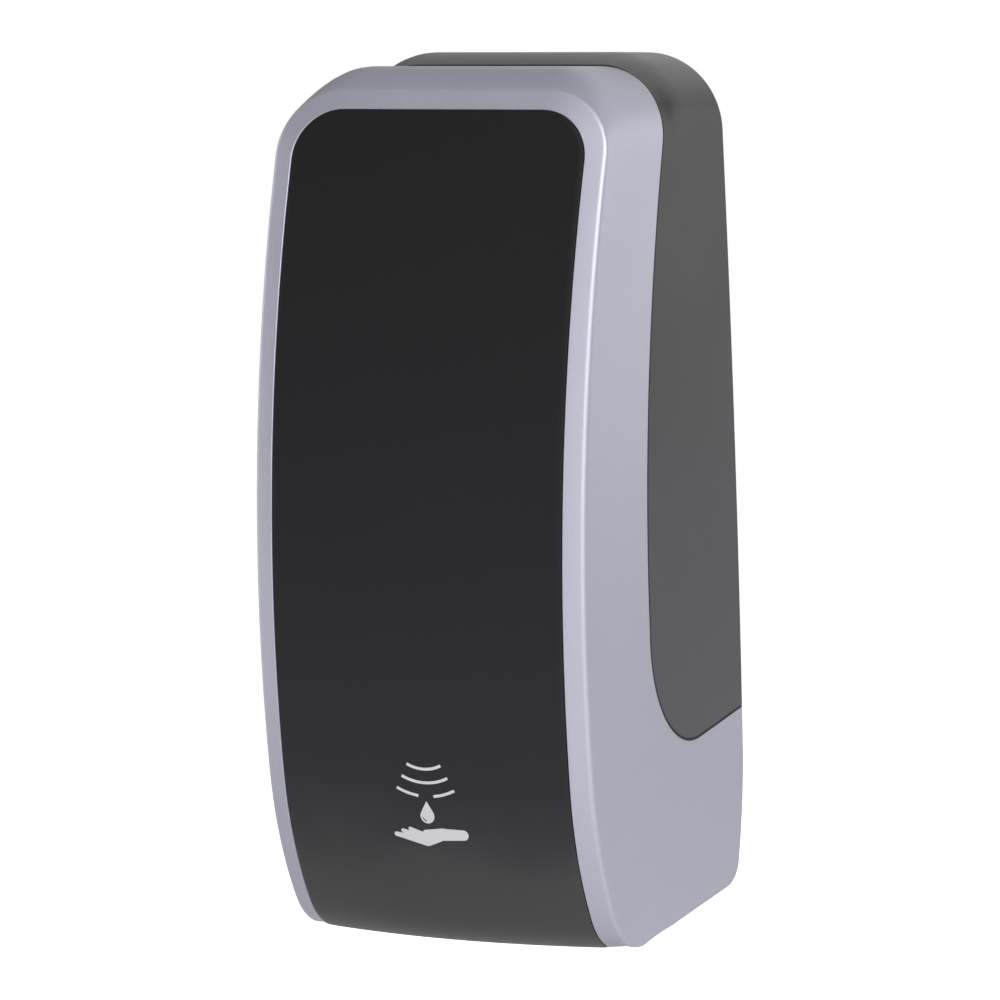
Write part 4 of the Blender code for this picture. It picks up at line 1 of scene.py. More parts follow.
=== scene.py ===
"""Looks of a wall dispenser for hand disinfectant: cover, inside and studio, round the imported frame.

Metres, +Z up and +X to the viewer's right. The wall is Y = 0, and a depth is a distance in front
of it, so it lies at Y = -depth. The CAD bodies carry every piece.
"""
import json
import logging
import math
from collections.abc import Callable, Iterable
from dataclasses import dataclass, field
from enum import Enum

import bmesh
import bpy
from mathutils import Matrix, Vector

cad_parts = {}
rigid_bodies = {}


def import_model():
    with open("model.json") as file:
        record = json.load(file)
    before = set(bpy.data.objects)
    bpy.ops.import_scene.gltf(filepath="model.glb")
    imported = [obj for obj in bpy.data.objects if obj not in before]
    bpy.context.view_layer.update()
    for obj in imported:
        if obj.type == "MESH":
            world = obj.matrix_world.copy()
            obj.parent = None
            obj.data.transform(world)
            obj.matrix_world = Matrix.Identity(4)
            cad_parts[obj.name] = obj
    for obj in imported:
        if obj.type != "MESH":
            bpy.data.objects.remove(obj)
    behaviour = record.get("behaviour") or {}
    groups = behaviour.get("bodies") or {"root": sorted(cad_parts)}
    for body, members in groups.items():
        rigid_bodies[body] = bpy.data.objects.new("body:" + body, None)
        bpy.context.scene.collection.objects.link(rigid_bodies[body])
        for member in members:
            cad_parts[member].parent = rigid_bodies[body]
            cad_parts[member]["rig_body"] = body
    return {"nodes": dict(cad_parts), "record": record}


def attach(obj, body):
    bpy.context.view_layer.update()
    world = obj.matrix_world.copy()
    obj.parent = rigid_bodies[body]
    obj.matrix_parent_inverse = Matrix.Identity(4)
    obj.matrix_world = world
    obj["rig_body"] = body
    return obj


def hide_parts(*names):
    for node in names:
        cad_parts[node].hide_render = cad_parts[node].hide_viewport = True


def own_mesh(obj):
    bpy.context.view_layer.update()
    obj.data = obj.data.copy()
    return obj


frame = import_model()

LOG = logging.getLogger("dispenser")
MM = 0.001
# Points closer than this become one, in new pieces and in copies of CAD nodes.
MERGE = 0.0005 * MM
CAD_MERGE = 0.001 * MM
# Most values of a noise lie in this range.
NOISE_RANGE = (0.3, 0.7)
WHITE = (1.0, 1.0, 1.0)
Colour = tuple[float, float, float]
Pair = tuple[float, float]
Circle = tuple[float, float, float]
Shape = bmesh.types.BMesh
Socket = bpy.types.NodeSocket


class Axis(Enum):
    """Axis of the frame that a screw lies along, as its index."""

    ACROSS = 0
    DEPTH = 1


class Operation(Enum):
    """Boolean operation between two closed meshes."""

    CUT = "DIFFERENCE"
    FUSE = "UNION"
    KEEP = "INTERSECT"


def linear(red: float, green: float, blue: float) -> Colour:
    """Scene colour of a display colour.

    Args:
        red: Red, from 0 to 255.
        green: Green, from 0 to 255.
        blue: Blue, from 0 to 255.

    Returns:
        The colour in linear values.
    """
    def one(value: float) -> float:
        """Linear value of one channel."""
        share = value / 255.0
        return share / 12.92 if share <= 0.04045 else ((share + 0.055) / 1.055) ** 2.4
    return one(red), one(green), one(blue)


def shaded(colour: Colour, share: float) -> Colour:
    """The colour, brighter by a share, or darker where the share is negative."""
    return tuple(min(channel * (1.0 + share), 1.0) for channel in colour)


def banded(colours: tuple[Colour, ...], fades: tuple[Pair, ...]) -> list[tuple[float, Colour]]:
    """Stops of a ramp with a band of each colour and a short fade between two bands.

    Args:
        colours: Colour of each band.
        fades: Where each fade starts and stops.

    Returns:
        The stops.
    """
    stops = [(0.0, colours[0])]
    for fade, ends in zip(fades, zip(colours, colours[1:])):
        stops += list(zip(fade, ends))
    return stops + [(1.0, colours[-1])]


def spot(across: float, depth: float, height: float) -> Vector:
    """Point from its distance across, its depth from the wall and its height."""
    return Vector((across, -depth, height))


def mesh_of(name: str, shape: Shape) -> bpy.types.Mesh:
    """Mesh of a finished shape.

    Args:
        name: Name of the mesh.
        shape: The shape, used up.

    Returns:
        The mesh.
    """
    mesh = bpy.data.meshes.new(name)
    shape.to_mesh(mesh)
    shape.free()
    return mesh


def hang(name: str, data: bpy.types.ID) -> bpy.types.Object:
    """Puts an object with its data in the scene.

    Args:
        name: Name of the object.
        data: Its mesh, light or camera.

    Returns:
        The object.
    """
    thing = bpy.data.objects.new(name, data)
    bpy.context.scene.collection.objects.link(thing)
    return thing


class Shading:
    """One material's node tree, with short calls for the nodes that the finishes use."""

    def __init__(self, name: str) -> None:
        """Makes an empty material whose Principled shader is ready.

        Args:
            name: Name of the material.
        """
        self.material = bpy.data.materials.new(name)
        self.material.use_nodes = True
        self.tree = self.material.node_tree
        self.shader = self.tree.nodes["Principled BSDF"]
        self.place = self.tree.nodes.new("ShaderNodeTexCoord").outputs["Object"]

    def put(self, socket: str, value: float | Colour) -> None:
        """Sets a socket of the shader to a number or a colour."""
        filled = (*value, 1.0) if isinstance(value, tuple) else value
        self.shader.inputs[socket].default_value = filled

    def feed(self, socket: str, output: Socket) -> None:
        """Links an output to a socket of the shader."""
        self.tree.links.new(output, self.shader.inputs[socket])

    def noise(self, scale: float, detail: float = 2.0,
              stretch: Colour = (1.0, 1.0, 1.0)) -> Socket:
        """Noise over the piece.

        Args:
            scale: Features per metre.
            detail: Octaves.
            stretch: Scale along each axis.

        Returns:
            The noise's value.
        """
        mapping = self.tree.nodes.new("ShaderNodeMapping")
        mapping.inputs["Scale"].default_value = stretch
        texture = self.tree.nodes.new("ShaderNodeTexNoise")
        texture.inputs["Scale"].default_value = scale
        texture.inputs["Detail"].default_value = detail
        self.tree.links.new(self.place, mapping.inputs["Vector"])
        self.tree.links.new(mapping.outputs["Vector"], texture.inputs["Vector"])
        return texture.outputs["Fac"]

    def ramp(self, value: Socket, stops: list[tuple[float, Colour]]) -> Socket:
        """Colours a value between stops.

        Args:
            value: The value, from 0 to 1.
            stops: Place and colour of each stop, in order.

        Returns:
            The colour.
        """
        node = self.tree.nodes.new("ShaderNodeValToRGB")
        elements = node.color_ramp.elements
        while len(elements) < len(stops):
            elements.new(1.0)
        for element, (position, colour) in zip(elements, stops):
            element.position = position
            element.color = (*colour, 1.0)
        self.tree.links.new(value, node.inputs["Fac"])
        return node.outputs["Color"]

    def level(self, value: Socket, low: float, high: float, source: Pair = (0.0, 1.0)) -> Socket:
        """Maps a value from its source range to a range.

        Args:
            value: The value.
            low: Start of the new range.
            high: End of the new range.
            source: The value's own range.

        Returns:
            The mapped value.
        """
        node = self.tree.nodes.new("ShaderNodeMapRange")
        node.inputs["From Min"].default_value = source[0]
        node.inputs["From Max"].default_value = source[1]
        node.inputs["To Min"].default_value = low
        node.inputs["To Max"].default_value = high
        self.tree.links.new(value, node.inputs["Value"])
        return node.outputs["Result"]

    def place_along(self, letter: str) -> Socket:
        """Place of the point along one axis of the frame, named by its letter."""
        node = self.tree.nodes.new("ShaderNodeSeparateXYZ")
        self.tree.links.new(self.place, node.inputs["Vector"])
        return node.outputs[letter]

    def sum(self, first: Socket, second: Socket) -> Socket:
        """Adds two values.

        Args:
            first: One value.
            second: The other value.

        Returns:
            Their sum.
        """
        node = self.tree.nodes.new("ShaderNodeMath")
        self.tree.links.new(first, node.inputs[0])
        self.tree.links.new(second, node.inputs[1])
        return node.outputs["Value"]

    def tint(self, value: Socket, colour: Colour, darker: float, brighter: float) -> None:
        """Mottles the colour by a noise, from a share darker to a share brighter."""
        ends = (shaded(colour, -darker), shaded(colour, brighter))
        self.feed("Base Color", self.ramp(value, list(zip(NOISE_RANGE, ends))))

    def dull(self, value: Socket, smooth: float, rough: float) -> None:
        """Varies the roughness by a noise, from a smooth value to a rough one."""
        self.feed("Roughness", self.level(value, smooth, rough, NOISE_RANGE))

    def bump(self, layers: list[tuple[Socket, float]]) -> None:
        """Stacks bump layers.

        Args:
            layers: Height and depth in metres of each layer.
        """
        last = None
        for value, depth in layers:
            node = self.tree.nodes.new("ShaderNodeBump")
            node.inputs["Strength"].default_value = 1.0
            node.inputs["Distance"].default_value = depth
            self.tree.links.new(value, node.inputs["Height"])
            if last is not None:
                self.tree.links.new(last, node.inputs["Normal"])
            last = node.outputs["Normal"]
        self.feed("Normal", last)


@dataclass(frozen=True)
class MouldedPlastic:
    """Moulded plastic with a fine spark-eroded grain."""

    name: str
    colour: Colour
    roughness: float = 0.5
    grain_depth: float = 0.012 * MM
    grain_size: float = 0.5 * MM
    grain_detail: float = 3.0
    cloud_scale: float = 40.0
    mottle: float = 0.015
    swing: float = 0.05
    gloss: float = 0.5

    def build(self) -> bpy.types.Material:
        """Makes the material."""
        shading = Shading(self.name)
        wide = shading.noise(self.cloud_scale)
        fine = shading.noise(1.0 / self.grain_size, self.grain_detail)
        shading.tint(wide, self.colour, self.mottle, self.mottle)
        shading.dull(fine, self.roughness - self.swing, self.roughness + self.swing)
        shading.put("Specular IOR Level", self.gloss)
        shading.bump([(fine, self.grain_depth)])
        return shading.material


@dataclass(frozen=True)
class SilverPaint:
    """Metallic paint on plastic: fine flakes under a satin lacquer."""

    name: str
    colour: Colour
    metallic: float
    roughness: float
    swing: float = 0.02
    coat: float = 0.12
    coat_roughness: float = 0.45
    flake_scale: float = 5200.0
    flake_contrast: float = 0.09
    flake_depth: float = 0.002 * MM
    cloud_scale: float = 30.0
    peel_scale: float = 420.0
    peel_depth: float = 0.004 * MM

    def build(self) -> bpy.types.Material:
        """Makes the material."""
        shading = Shading(self.name)
        flakes = shading.noise(self.flake_scale)
        cloud = shading.noise(self.cloud_scale)
        peel = shading.noise(self.peel_scale)
        shading.tint(flakes, self.colour, self.flake_contrast, self.flake_contrast)
        shading.dull(cloud, self.roughness - self.swing, self.roughness + self.swing)
        shading.put("Metallic", self.metallic)
        shading.put("Coat Weight", self.coat)
        shading.put("Coat Roughness", self.coat_roughness)
        shading.bump([(peel, self.peel_depth), (flakes, self.flake_depth)])
        return shading.material


@dataclass(frozen=True)
class HeightShadedPlastic:
    """Satin plastic painted with light and shade by height: its colour changes in stops from low to
    high.
    """

    name: str
    # Painted light and shade: the colour at each share of the height.
    colours: tuple[tuple[float, Colour], ...]
    roughness: float
    gloss: float
    low: float = -150.0 * MM
    high: float = 140.0 * MM
    drift: float = 0.03
    swing: float = 0.02
    haze_scale: float = 16.0
    peel_scale: float = 260.0
    peel_depth: float = 0.003 * MM

    def build(self) -> bpy.types.Material:
        """Makes the material."""
        shading = Shading(self.name)
        peel = shading.noise(self.peel_scale)
        haze = shading.noise(self.haze_scale)
        rise = shading.level(shading.place_along("Z"), 0.0, 1.0, (self.low, self.high))
        drift = shading.level(haze, -self.drift, self.drift, NOISE_RANGE)
        # Paints the light and shade by height, drifted a little by the haze.
        shading.feed("Base Color", shading.ramp(shading.sum(rise, drift), list(self.colours)))
        shading.dull(haze, self.roughness - self.swing, self.roughness + self.swing)
        shading.put("Specular IOR Level", self.gloss)
        shading.bump([(peel, self.peel_depth)])
        return shading.material


@dataclass(frozen=True)
class ClearPlastic:
    """Clear or milky plastic: the tank, the pump's cover, the sender, the hose and the lamp."""

    name: str
    colour: Colour
    roughness: float = 0.15
    clear: float = 0.85
    swing: float = 0.08
    mottle: float = 0.04
    refraction: float = 1.46
    flow_scale: float = 25.0
    flow_stretch: Colour = (1.0, 1.0, 0.3)
    flow_depth: float = 0.05 * MM

    def build(self) -> bpy.types.Material:
        """Makes the material."""
        shading = Shading(self.name)
        flow = shading.noise(self.flow_scale, stretch=self.flow_stretch)
        shading.tint(flow, self.colour, self.mottle, 0.0)
        shading.dull(flow, self.roughness, self.roughness + self.swing)
        shading.put("Transmission Weight", self.clear)
        shading.put("IOR", self.refraction)
        shading.bump([(flow, self.flow_depth)])
        return shading.material


@dataclass(frozen=True)
class BrightMetal:
    """Drawn or machined metal with fine lines."""

    name: str
    colour: Colour
    roughness: float = 0.28
    smoother: float = 0.08
    duller: float = 0.1
    stain: float = 0.12
    stain_scale: float = 120.0
    stain_detail: float = 3.0
    line_scale: float = 3000.0
    line_stretch: Colour = (1.0, 0.06, 1.0)
    line_depth: float = 0.003 * MM

    def build(self) -> bpy.types.Material:
        """Makes the material."""
        shading = Shading(self.name)
        lines = shading.noise(self.line_scale, stretch=self.line_stretch)
        stain = shading.noise(self.stain_scale, self.stain_detail)
        shading.tint(stain, self.colour, self.stain, 0.0)
        shading.dull(lines, self.roughness - self.smoother, self.roughness + self.duller)
        shading.put("Metallic", 1.0)
        shading.bump([(lines, self.line_depth)])
        return shading.material


@dataclass(frozen=True)
class CellJacket:
    """Printed jacket of a dry cell: a blue body, a pale band by the nub and steel ends."""

    name: str
    base: float
    tip: float
    steel: Colour = linear(190, 190, 194)
    body: Colour = linear(38, 70, 118)
    band: Colour = linear(204, 206, 210)
    steel_to_body: Pair = (0.008, 0.012)
    body_to_band: Pair = (0.74, 0.745)
    band_to_steel: Pair = (0.955, 0.96)
    metallic: float = 0.5
    roughness: Pair = (0.25, 0.33)
    print_scale: float = 300.0
    print_detail: float = 3.0

    def build(self) -> bpy.types.Material:
        """Makes the material."""
        shading = Shading(self.name)
        along = shading.level(shading.place_along("Z"), 0.0, 1.0, (self.base, self.tip))
        shading.feed("Base Color", shading.ramp(along, banded(
            (self.steel, self.body, self.band, self.steel),
            (self.steel_to_body, self.body_to_band, self.band_to_steel))))
        shading.dull(shading.noise(self.print_scale, self.print_detail), *self.roughness)
        shading.put("Metallic", self.metallic)
        return shading.material


@dataclass(frozen=True)
class BoardLacquer:
    """Green circuit board between pale switches in front and dark parts behind."""

    name: str
    back: float
    face: float
    dark: Colour = linear(38, 40, 46)
    green: Colour = linear(24, 96, 56)
    pale: Colour = linear(168, 170, 172)
    margin: float = 10.0 * MM
    fade: Pair = (0.002, 0.004)
    roughness: Pair = (0.3, 0.42)
    sheen_scale: float = 500.0
    sheen_detail: float = 3.0
    weave_scale: float = 900.0
    weave_depth: float = 0.02 * MM

    def build(self) -> bpy.types.Material:
        """Makes the material."""
        shading = Shading(self.name)
        along = shading.level(shading.place_along("Y"), 0.0, 1.0,
                              (-self.back + self.margin, -self.face - self.margin))
        back = self.margin / (self.face - self.back + 2.0 * self.margin)
        near, far = self.fade
        shading.feed("Base Color", shading.ramp(along, banded(
            (self.dark, self.green, self.pale),
            ((back - far, back - near), (1.0 - back + near, 1.0 - back + far)))))
        shading.dull(shading.noise(self.sheen_scale, self.sheen_detail), *self.roughness)
        shading.bump([(shading.noise(self.weave_scale), self.weave_depth)])
        return shading.material


@dataclass
class CoverForm:
    """Outer form of the cover: the side profile, the widths and the loops round it.

    Distances along the profile are positive upwards from its foremost point.
    """

    depth: float = 126.3 * MM
    foremost: float = -8.0 * MM
    front_radius: float = 470.0 * MM
    chin_height: float = -95.0 * MM
    chin_radius: float = 125.0 * MM
    turn_height: float = -143.0 * MM
    turn_radius: float = 29.3 * MM
    underside_slope: float = math.radians(8.4)
    top: float = 151.0 * MM
    seam_top: float = 146.1 * MM
    crease_top: float = 138.2 * MM
    rim_depth: float = 1.5 * MM
    rim_round: float = 5.0 * MM
    rear_half_top: float = 61.0 * MM
    rear_half_low: float = 69.8 * MM
    taper_top: float = 120.0 * MM
    taper_low: float = -100.0 * MM
    rear_bow: float = 0.8 * MM
    rear_tuck: float = 2.8 * MM
    tuck_height: float = 50.0 * MM
    front_half_top: float = 61.6 * MM
    front_half_low: float = 60.5 * MM
    rear_corner: float = 28.8 * MM
    seam_corner: float = 26.5 * MM
    crease_corner: float = 23.5 * MM
    low_corner: float = 4.0 * MM
    wall: float = 2.5 * MM
    frame_depth: float = 49.5 * MM
    frame_shoulder: float = 0.33
    shell_shoulder: float = 0.3
    notch_height: float = -46.0 * MM
    notch_half_depth: float = 34.0 * MM
    notch_half_height: float = 41.7 * MM
    notch_rise: float = math.radians(10.6)
    band: float = 7.3 * MM
    band_top: float = 6.9 * MM
    rise_top: float = 1.4 * MM
    rise_low: float = 3.0 * MM
    crease_round: float = 2.2 * MM
    window_corner: float = 17.5 * MM
    window_low_corner: float = 6.0 * MM
    window_end: float = math.radians(79.0)
    window_thickness: float = 2.1 * MM
    chin_bulge: float = 8.0 * MM
    bulge_top: float = -97.0 * MM
    bulge_height: float = 58.0 * MM
    ledge_width: float = 4.0 * MM
    ledge_thickness: float = 2.0 * MM
    rebate: float = 3.0 * MM
    low_steps: int = 14
    low_corner_steps: int = 8
    side_steps: int = 84
    corner_steps: int = 22
    top_steps: int = 12
    crowding: float = 1.35
    seam_steps: int = 60
    notch_steps: int = 48

    def __post_init__(self) -> None:
        """Works out where the profile's arcs meet."""
        self.front = (self.depth - self.front_radius, self.foremost)
        self.front_end = math.asin((self.foremost - self.chin_height) / self.front_radius)
        self.chin = self._next_centre(self.front, self.front_radius - self.chin_radius,
                                      self.front_end)
        self.chin_end = math.asin((self.chin[1] - self.turn_height) / self.chin_radius)
        self.turn = self._next_centre(self.chin, self.chin_radius - self.turn_radius,
                                      self.chin_end)
        self.turn_end = math.pi / 2 + self.underside_slope

    @staticmethod
    def _next_centre(centre: Pair, step: float, angle: float) -> Pair:
        """Centre of the arc that carries on smoothly from the last one."""
        return centre[0] + step * math.cos(angle), centre[1] - step * math.sin(angle)

    def along_at_angle(self, angle: float) -> float:
        """Distance along the profile where its outward normal dips by an angle.

        Args:
            angle: Angle below the horizontal.

        Returns:
            The distance.
        """
        if angle <= self.front_end:
            return -self.front_radius * angle
        along = -self.front_radius * self.front_end
        if angle <= self.chin_end:
            return along - self.chin_radius * (angle - self.front_end)
        along -= self.chin_radius * (self.chin_end - self.front_end)
        return along - self.turn_radius * (angle - self.chin_end)

    def along_at_height(self, height: float) -> float:
        """Distance along the profile at a height on the front arc."""
        return self.along_at_angle(math.asin((self.foremost - height) / self.front_radius))

    def point(self, along: float, lift: float = 0.0) -> Pair:
        """Depth and height of a point of the profile.

        Args:
            along: Distance along the profile.
            lift: Distance off it along the normal.

        Returns:
            Depth and height.
        """
        chin_start = self.along_at_angle(self.front_end)
        turn_start = self.along_at_angle(self.chin_end)
        finish = self.along_at_angle(self.turn_end)
        run_on = 0.0
        if along >= chin_start:
            centre, radius, angle = self.front, self.front_radius, -along / self.front_radius
        elif along >= turn_start:
            centre, radius = self.chin, self.chin_radius
            angle = self.front_end + (chin_start - along) / self.chin_radius
        else:
            centre, radius = self.turn, self.turn_radius
            angle = self.chin_end + (turn_start - max(along, finish)) / self.turn_radius
            run_on = max(finish - along, 0.0)
        reach = radius + lift
        return (centre[0] + reach * math.cos(angle) - run_on * math.sin(angle),
                centre[1] - reach * math.sin(angle) - run_on * math.cos(angle))

    def front_depth(self, height: float) -> float:
        """Depth of the front arc at a height."""
        return self.front[0] + math.sqrt(self.front_radius ** 2 - (height - self.foremost) ** 2)

    def underside(self, depth: float) -> float:
        """Height of the underside.

        Args:
            depth: Depth from the wall.

        Returns:
            The height.
        """
        end_depth, end_height = self.point(self.along_at_angle(self.turn_end))
        if depth <= end_depth:
            return end_height + (end_depth - depth) * math.tan(self.underside_slope)
        left = max(self.turn_radius ** 2 - (depth - self.turn[0]) ** 2, 0.0)
        return self.turn[1] - math.sqrt(left)

    def rear_half(self, height: float) -> float:
        """Half width at the wall.

        Args:
            height: Where it is measured.

        Returns:
            The half width.
        """
        share = (self.taper_top - height) / (self.taper_top - self.taper_low)
        if share <= 1.0:
            bow = self.rear_bow * 4.0 * share * (1.0 - share)
            return self.rear_half_top + (self.rear_half_low - self.rear_half_top) * share + bow
        return self.rear_half_low - self.rear_tuck * ((self.taper_low - height)
                                                      / self.tuck_height) ** 2

    def front_half(self, height: float) -> float:
        """Half width at the front crease."""
        share = min((self.taper_top - height) / (self.taper_top - self.turn_height), 1.0)
        return self.front_half_top + (self.front_half_low - self.front_half_top) * share

    def half_at(self, depth: float, height: float) -> float:
        """Half width of the side wall.

        Args:
            depth: Depth from the wall.
            height: Height on the side.

        Returns:
            The half width.
        """
        share = depth / self.front_depth(max(height, self.chin_height))
        rear = self.rear_half(height)
        return rear + (self.front_half(height) - rear) * share

    def seam_plane(self) -> float:
        """Depth of the seam at the top."""
        return self.front_depth(self.seam_top) - self.frame_depth

    def rise(self, along: float) -> float:
        """How far the window's edge stands in front of the crease.

        Args:
            along: Place along the profile.

        Returns:
            The distance.
        """
        top = self.along_at_height(self.crease_top)
        low = self.along_at_angle(self.chin_end)
        share = min((top - along) / (top - low), 1.0)
        return self.rise_top + (self.rise_low - self.rise_top) * share

    def bulge(self, height: float, across: float) -> float:
        """How far the chin stands out.

        Args:
            height: Height on the front.
            across: Distance from the middle.

        Returns:
            The distance.
        """
        share = min(max((self.bulge_top - height) / self.bulge_height, 0.0), 1.0)
        swell = share * share * (3.0 - 2.0 * share)
        part = min(abs(across) / (self.front_half_low - self.band), 1.0)
        return self.chin_bulge * swell * (1.0 - part * part)

    def outline(self, half_width: Callable[[float], float], low: float, high: float,
                corner_high: float, corner_low: float) -> list[Pair]:
        """Closed outline of (across, along) pairs from the low centre round by the right.

        Args:
            half_width: Half width at a place along.
            low: Lowest place along.
            high: Highest place along.
            corner_high: Radius of the upper corners.
            corner_low: Radius of the lower corners.

        Returns:
            The pairs, the same number for every outline.
        """
        wide_low, wide_high = half_width(low + corner_low), half_width(high - corner_high)
        count = self.low_steps
        right = [((wide_low - corner_low) * k / count, low) for k in range(count + 1)]
        for k in range(1, self.low_corner_steps + 1):
            angle = math.pi / 2 * k / self.low_corner_steps
            right.append((wide_low - corner_low * (1.0 - math.sin(angle)),
                          low + corner_low * (1.0 - math.cos(angle))))
        start, span = low + corner_low, high - corner_high - low - corner_low
        for k in range(1, self.side_steps + 1):
            along = start + span * (k / self.side_steps) ** self.crowding
            right.append((half_width(along), along))
        for k in range(1, self.corner_steps + 1):
            angle = math.pi / 2 * k / self.corner_steps
            right.append((wide_high - corner_high * (1.0 - math.cos(angle)),
                          high - corner_high * (1.0 - math.sin(angle))))
        count = self.top_steps
        right += [((wide_high - corner_high) * (1.0 - k / count), high)
                  for k in range(1, count + 1)]
        return right + [(-across, along) for across, along in reversed(right[1:-1])]

    @staticmethod
    def shoulder(share: float, span: float) -> float:
        """Share of its rise that a rounded top wall has reached at a share of the way back."""
        return 1.0 - (1.0 - min(share / span, 1.0)) ** 2

    def upper_share(self, height: float) -> float:
        """How far up the crease's upper corner a height lies, from 0 below it to 1 at its top."""
        return min(max((height - self.crease_top) / self.crease_corner + 1.0, 0.0), 1.0)

    def flank(self, crease: Vector, seam: Vector, share: float) -> Vector:
        """Point of the wall between the crease and the seam, on the shoulder where it is high.

        Args:
            crease: Point of the crease.
            seam: Point of the seam behind it.
            share: Share of the way back from the crease.

        Returns:
            The point.
        """
        extra = self.shoulder(share, self.frame_shoulder) - share
        gap = seam - crease
        rise = Vector((gap.x, 0.0, gap.z)) * (extra * self.upper_share(crease.z))
        return crease + gap * share + rise

    def plane_loop(self, depth: float, inset: float, lift: float = 0.0,
                   rounded: bool = False) -> list[Vector]:
        """Outline of the cover in a plane parallel to the wall.

        Args:
            depth: Depth of the plane.
            inset: Distance in from the cover's outer side.
            lift: Distance by which its underside is lifted.
            rounded: Whether its top follows the shell's rounded shoulder.

        Returns:
            The outline's points.
        """
        share = depth / self.seam_plane()
        back = self.shoulder(1.0 - share, self.shell_shoulder) if rounded else 1.0 - share
        top = self.seam_top + (self.top - self.seam_top) * back
        corner = self.rear_corner + (self.seam_corner - self.rear_corner) * share
        low = self.underside(depth) + lift + inset
        pairs = self.outline(lambda z: self.half_at(depth, z) - inset, low, top - inset,
                             corner - inset, self.low_corner)
        return [spot(x, depth, z) for x, z in pairs]

    def front_loop(self, inset: float, low: float, high: float, corner: float,
                   corner_low: float, lift: float, raised: bool) -> list[Vector]:
        """Outline on the front of the cover.

        Args:
            inset: Distance in from the crease, at the sides.
            low: Lowest place along the profile.
            high: Highest place along the profile.
            corner: Radius of the upper corners.
            corner_low: Radius of the lower corners.
            lift: Distance off the profile.
            raised: Whether the outline stands forwards as the window's edge does.

        Returns:
            The outline's points.
        """
        pairs = self.outline(lambda along: self.front_half(self.point(along)[1]) - inset,
                             low, high, corner, corner_low)
        points = []
        for across, along in pairs:
            depth, height = self.point(along, lift)
            forward = self.rise(along) if raised else 0.0
            points.append(spot(across, depth + forward + self.bulge(height, across), height))
        return points

    def window_low(self) -> float:
        """Lowest place of the window along the profile."""
        return self.along_at_angle(self.window_end)

    def window_high(self) -> float:
        """Highest place of the window along the profile."""
        return self.along_at_height(self.crease_top) - self.band_top

    def window_loop(self, inset: float, lift: float) -> list[Vector]:
        """Outline of the window, drawn in by an inset and lifted off its face."""
        return self.front_loop(self.band + inset, self.window_low() + inset,
                               self.window_high() - inset, self.window_corner - inset,
                               self.window_low_corner - inset, lift, True)

    def seam_curve(self, shift: float) -> list[Pair]:
        """Side view of the seam from the top to the wall.

        Args:
            shift: Distance by which it is moved forwards.

        Returns:
            Depth and height of its points.
        """
        points = []
        tall = self.top + self.frame_depth
        for k in range(self.seam_steps + 1):
            height = tall + (self.notch_height - tall) * k / self.seam_steps
            points.append((self.front_depth(height) - self.frame_depth + shift, height))
        middle = self.front_depth(self.notch_height) - self.frame_depth - self.notch_half_depth
        wide, high = self.notch_half_depth + shift, self.notch_half_height + shift
        last = math.pi / 2 + math.atan(wide * math.tan(self.notch_rise) / high)
        for k in range(1, self.notch_steps + 1):
            angle = last * k / self.notch_steps
            points.append((middle + wide * math.cos(angle),
                           self.notch_height - high * math.sin(angle)))
        depth, height = points[-1]
        points.append((-self.wall, height + (depth + self.wall) * math.tan(self.notch_rise)))
        return points


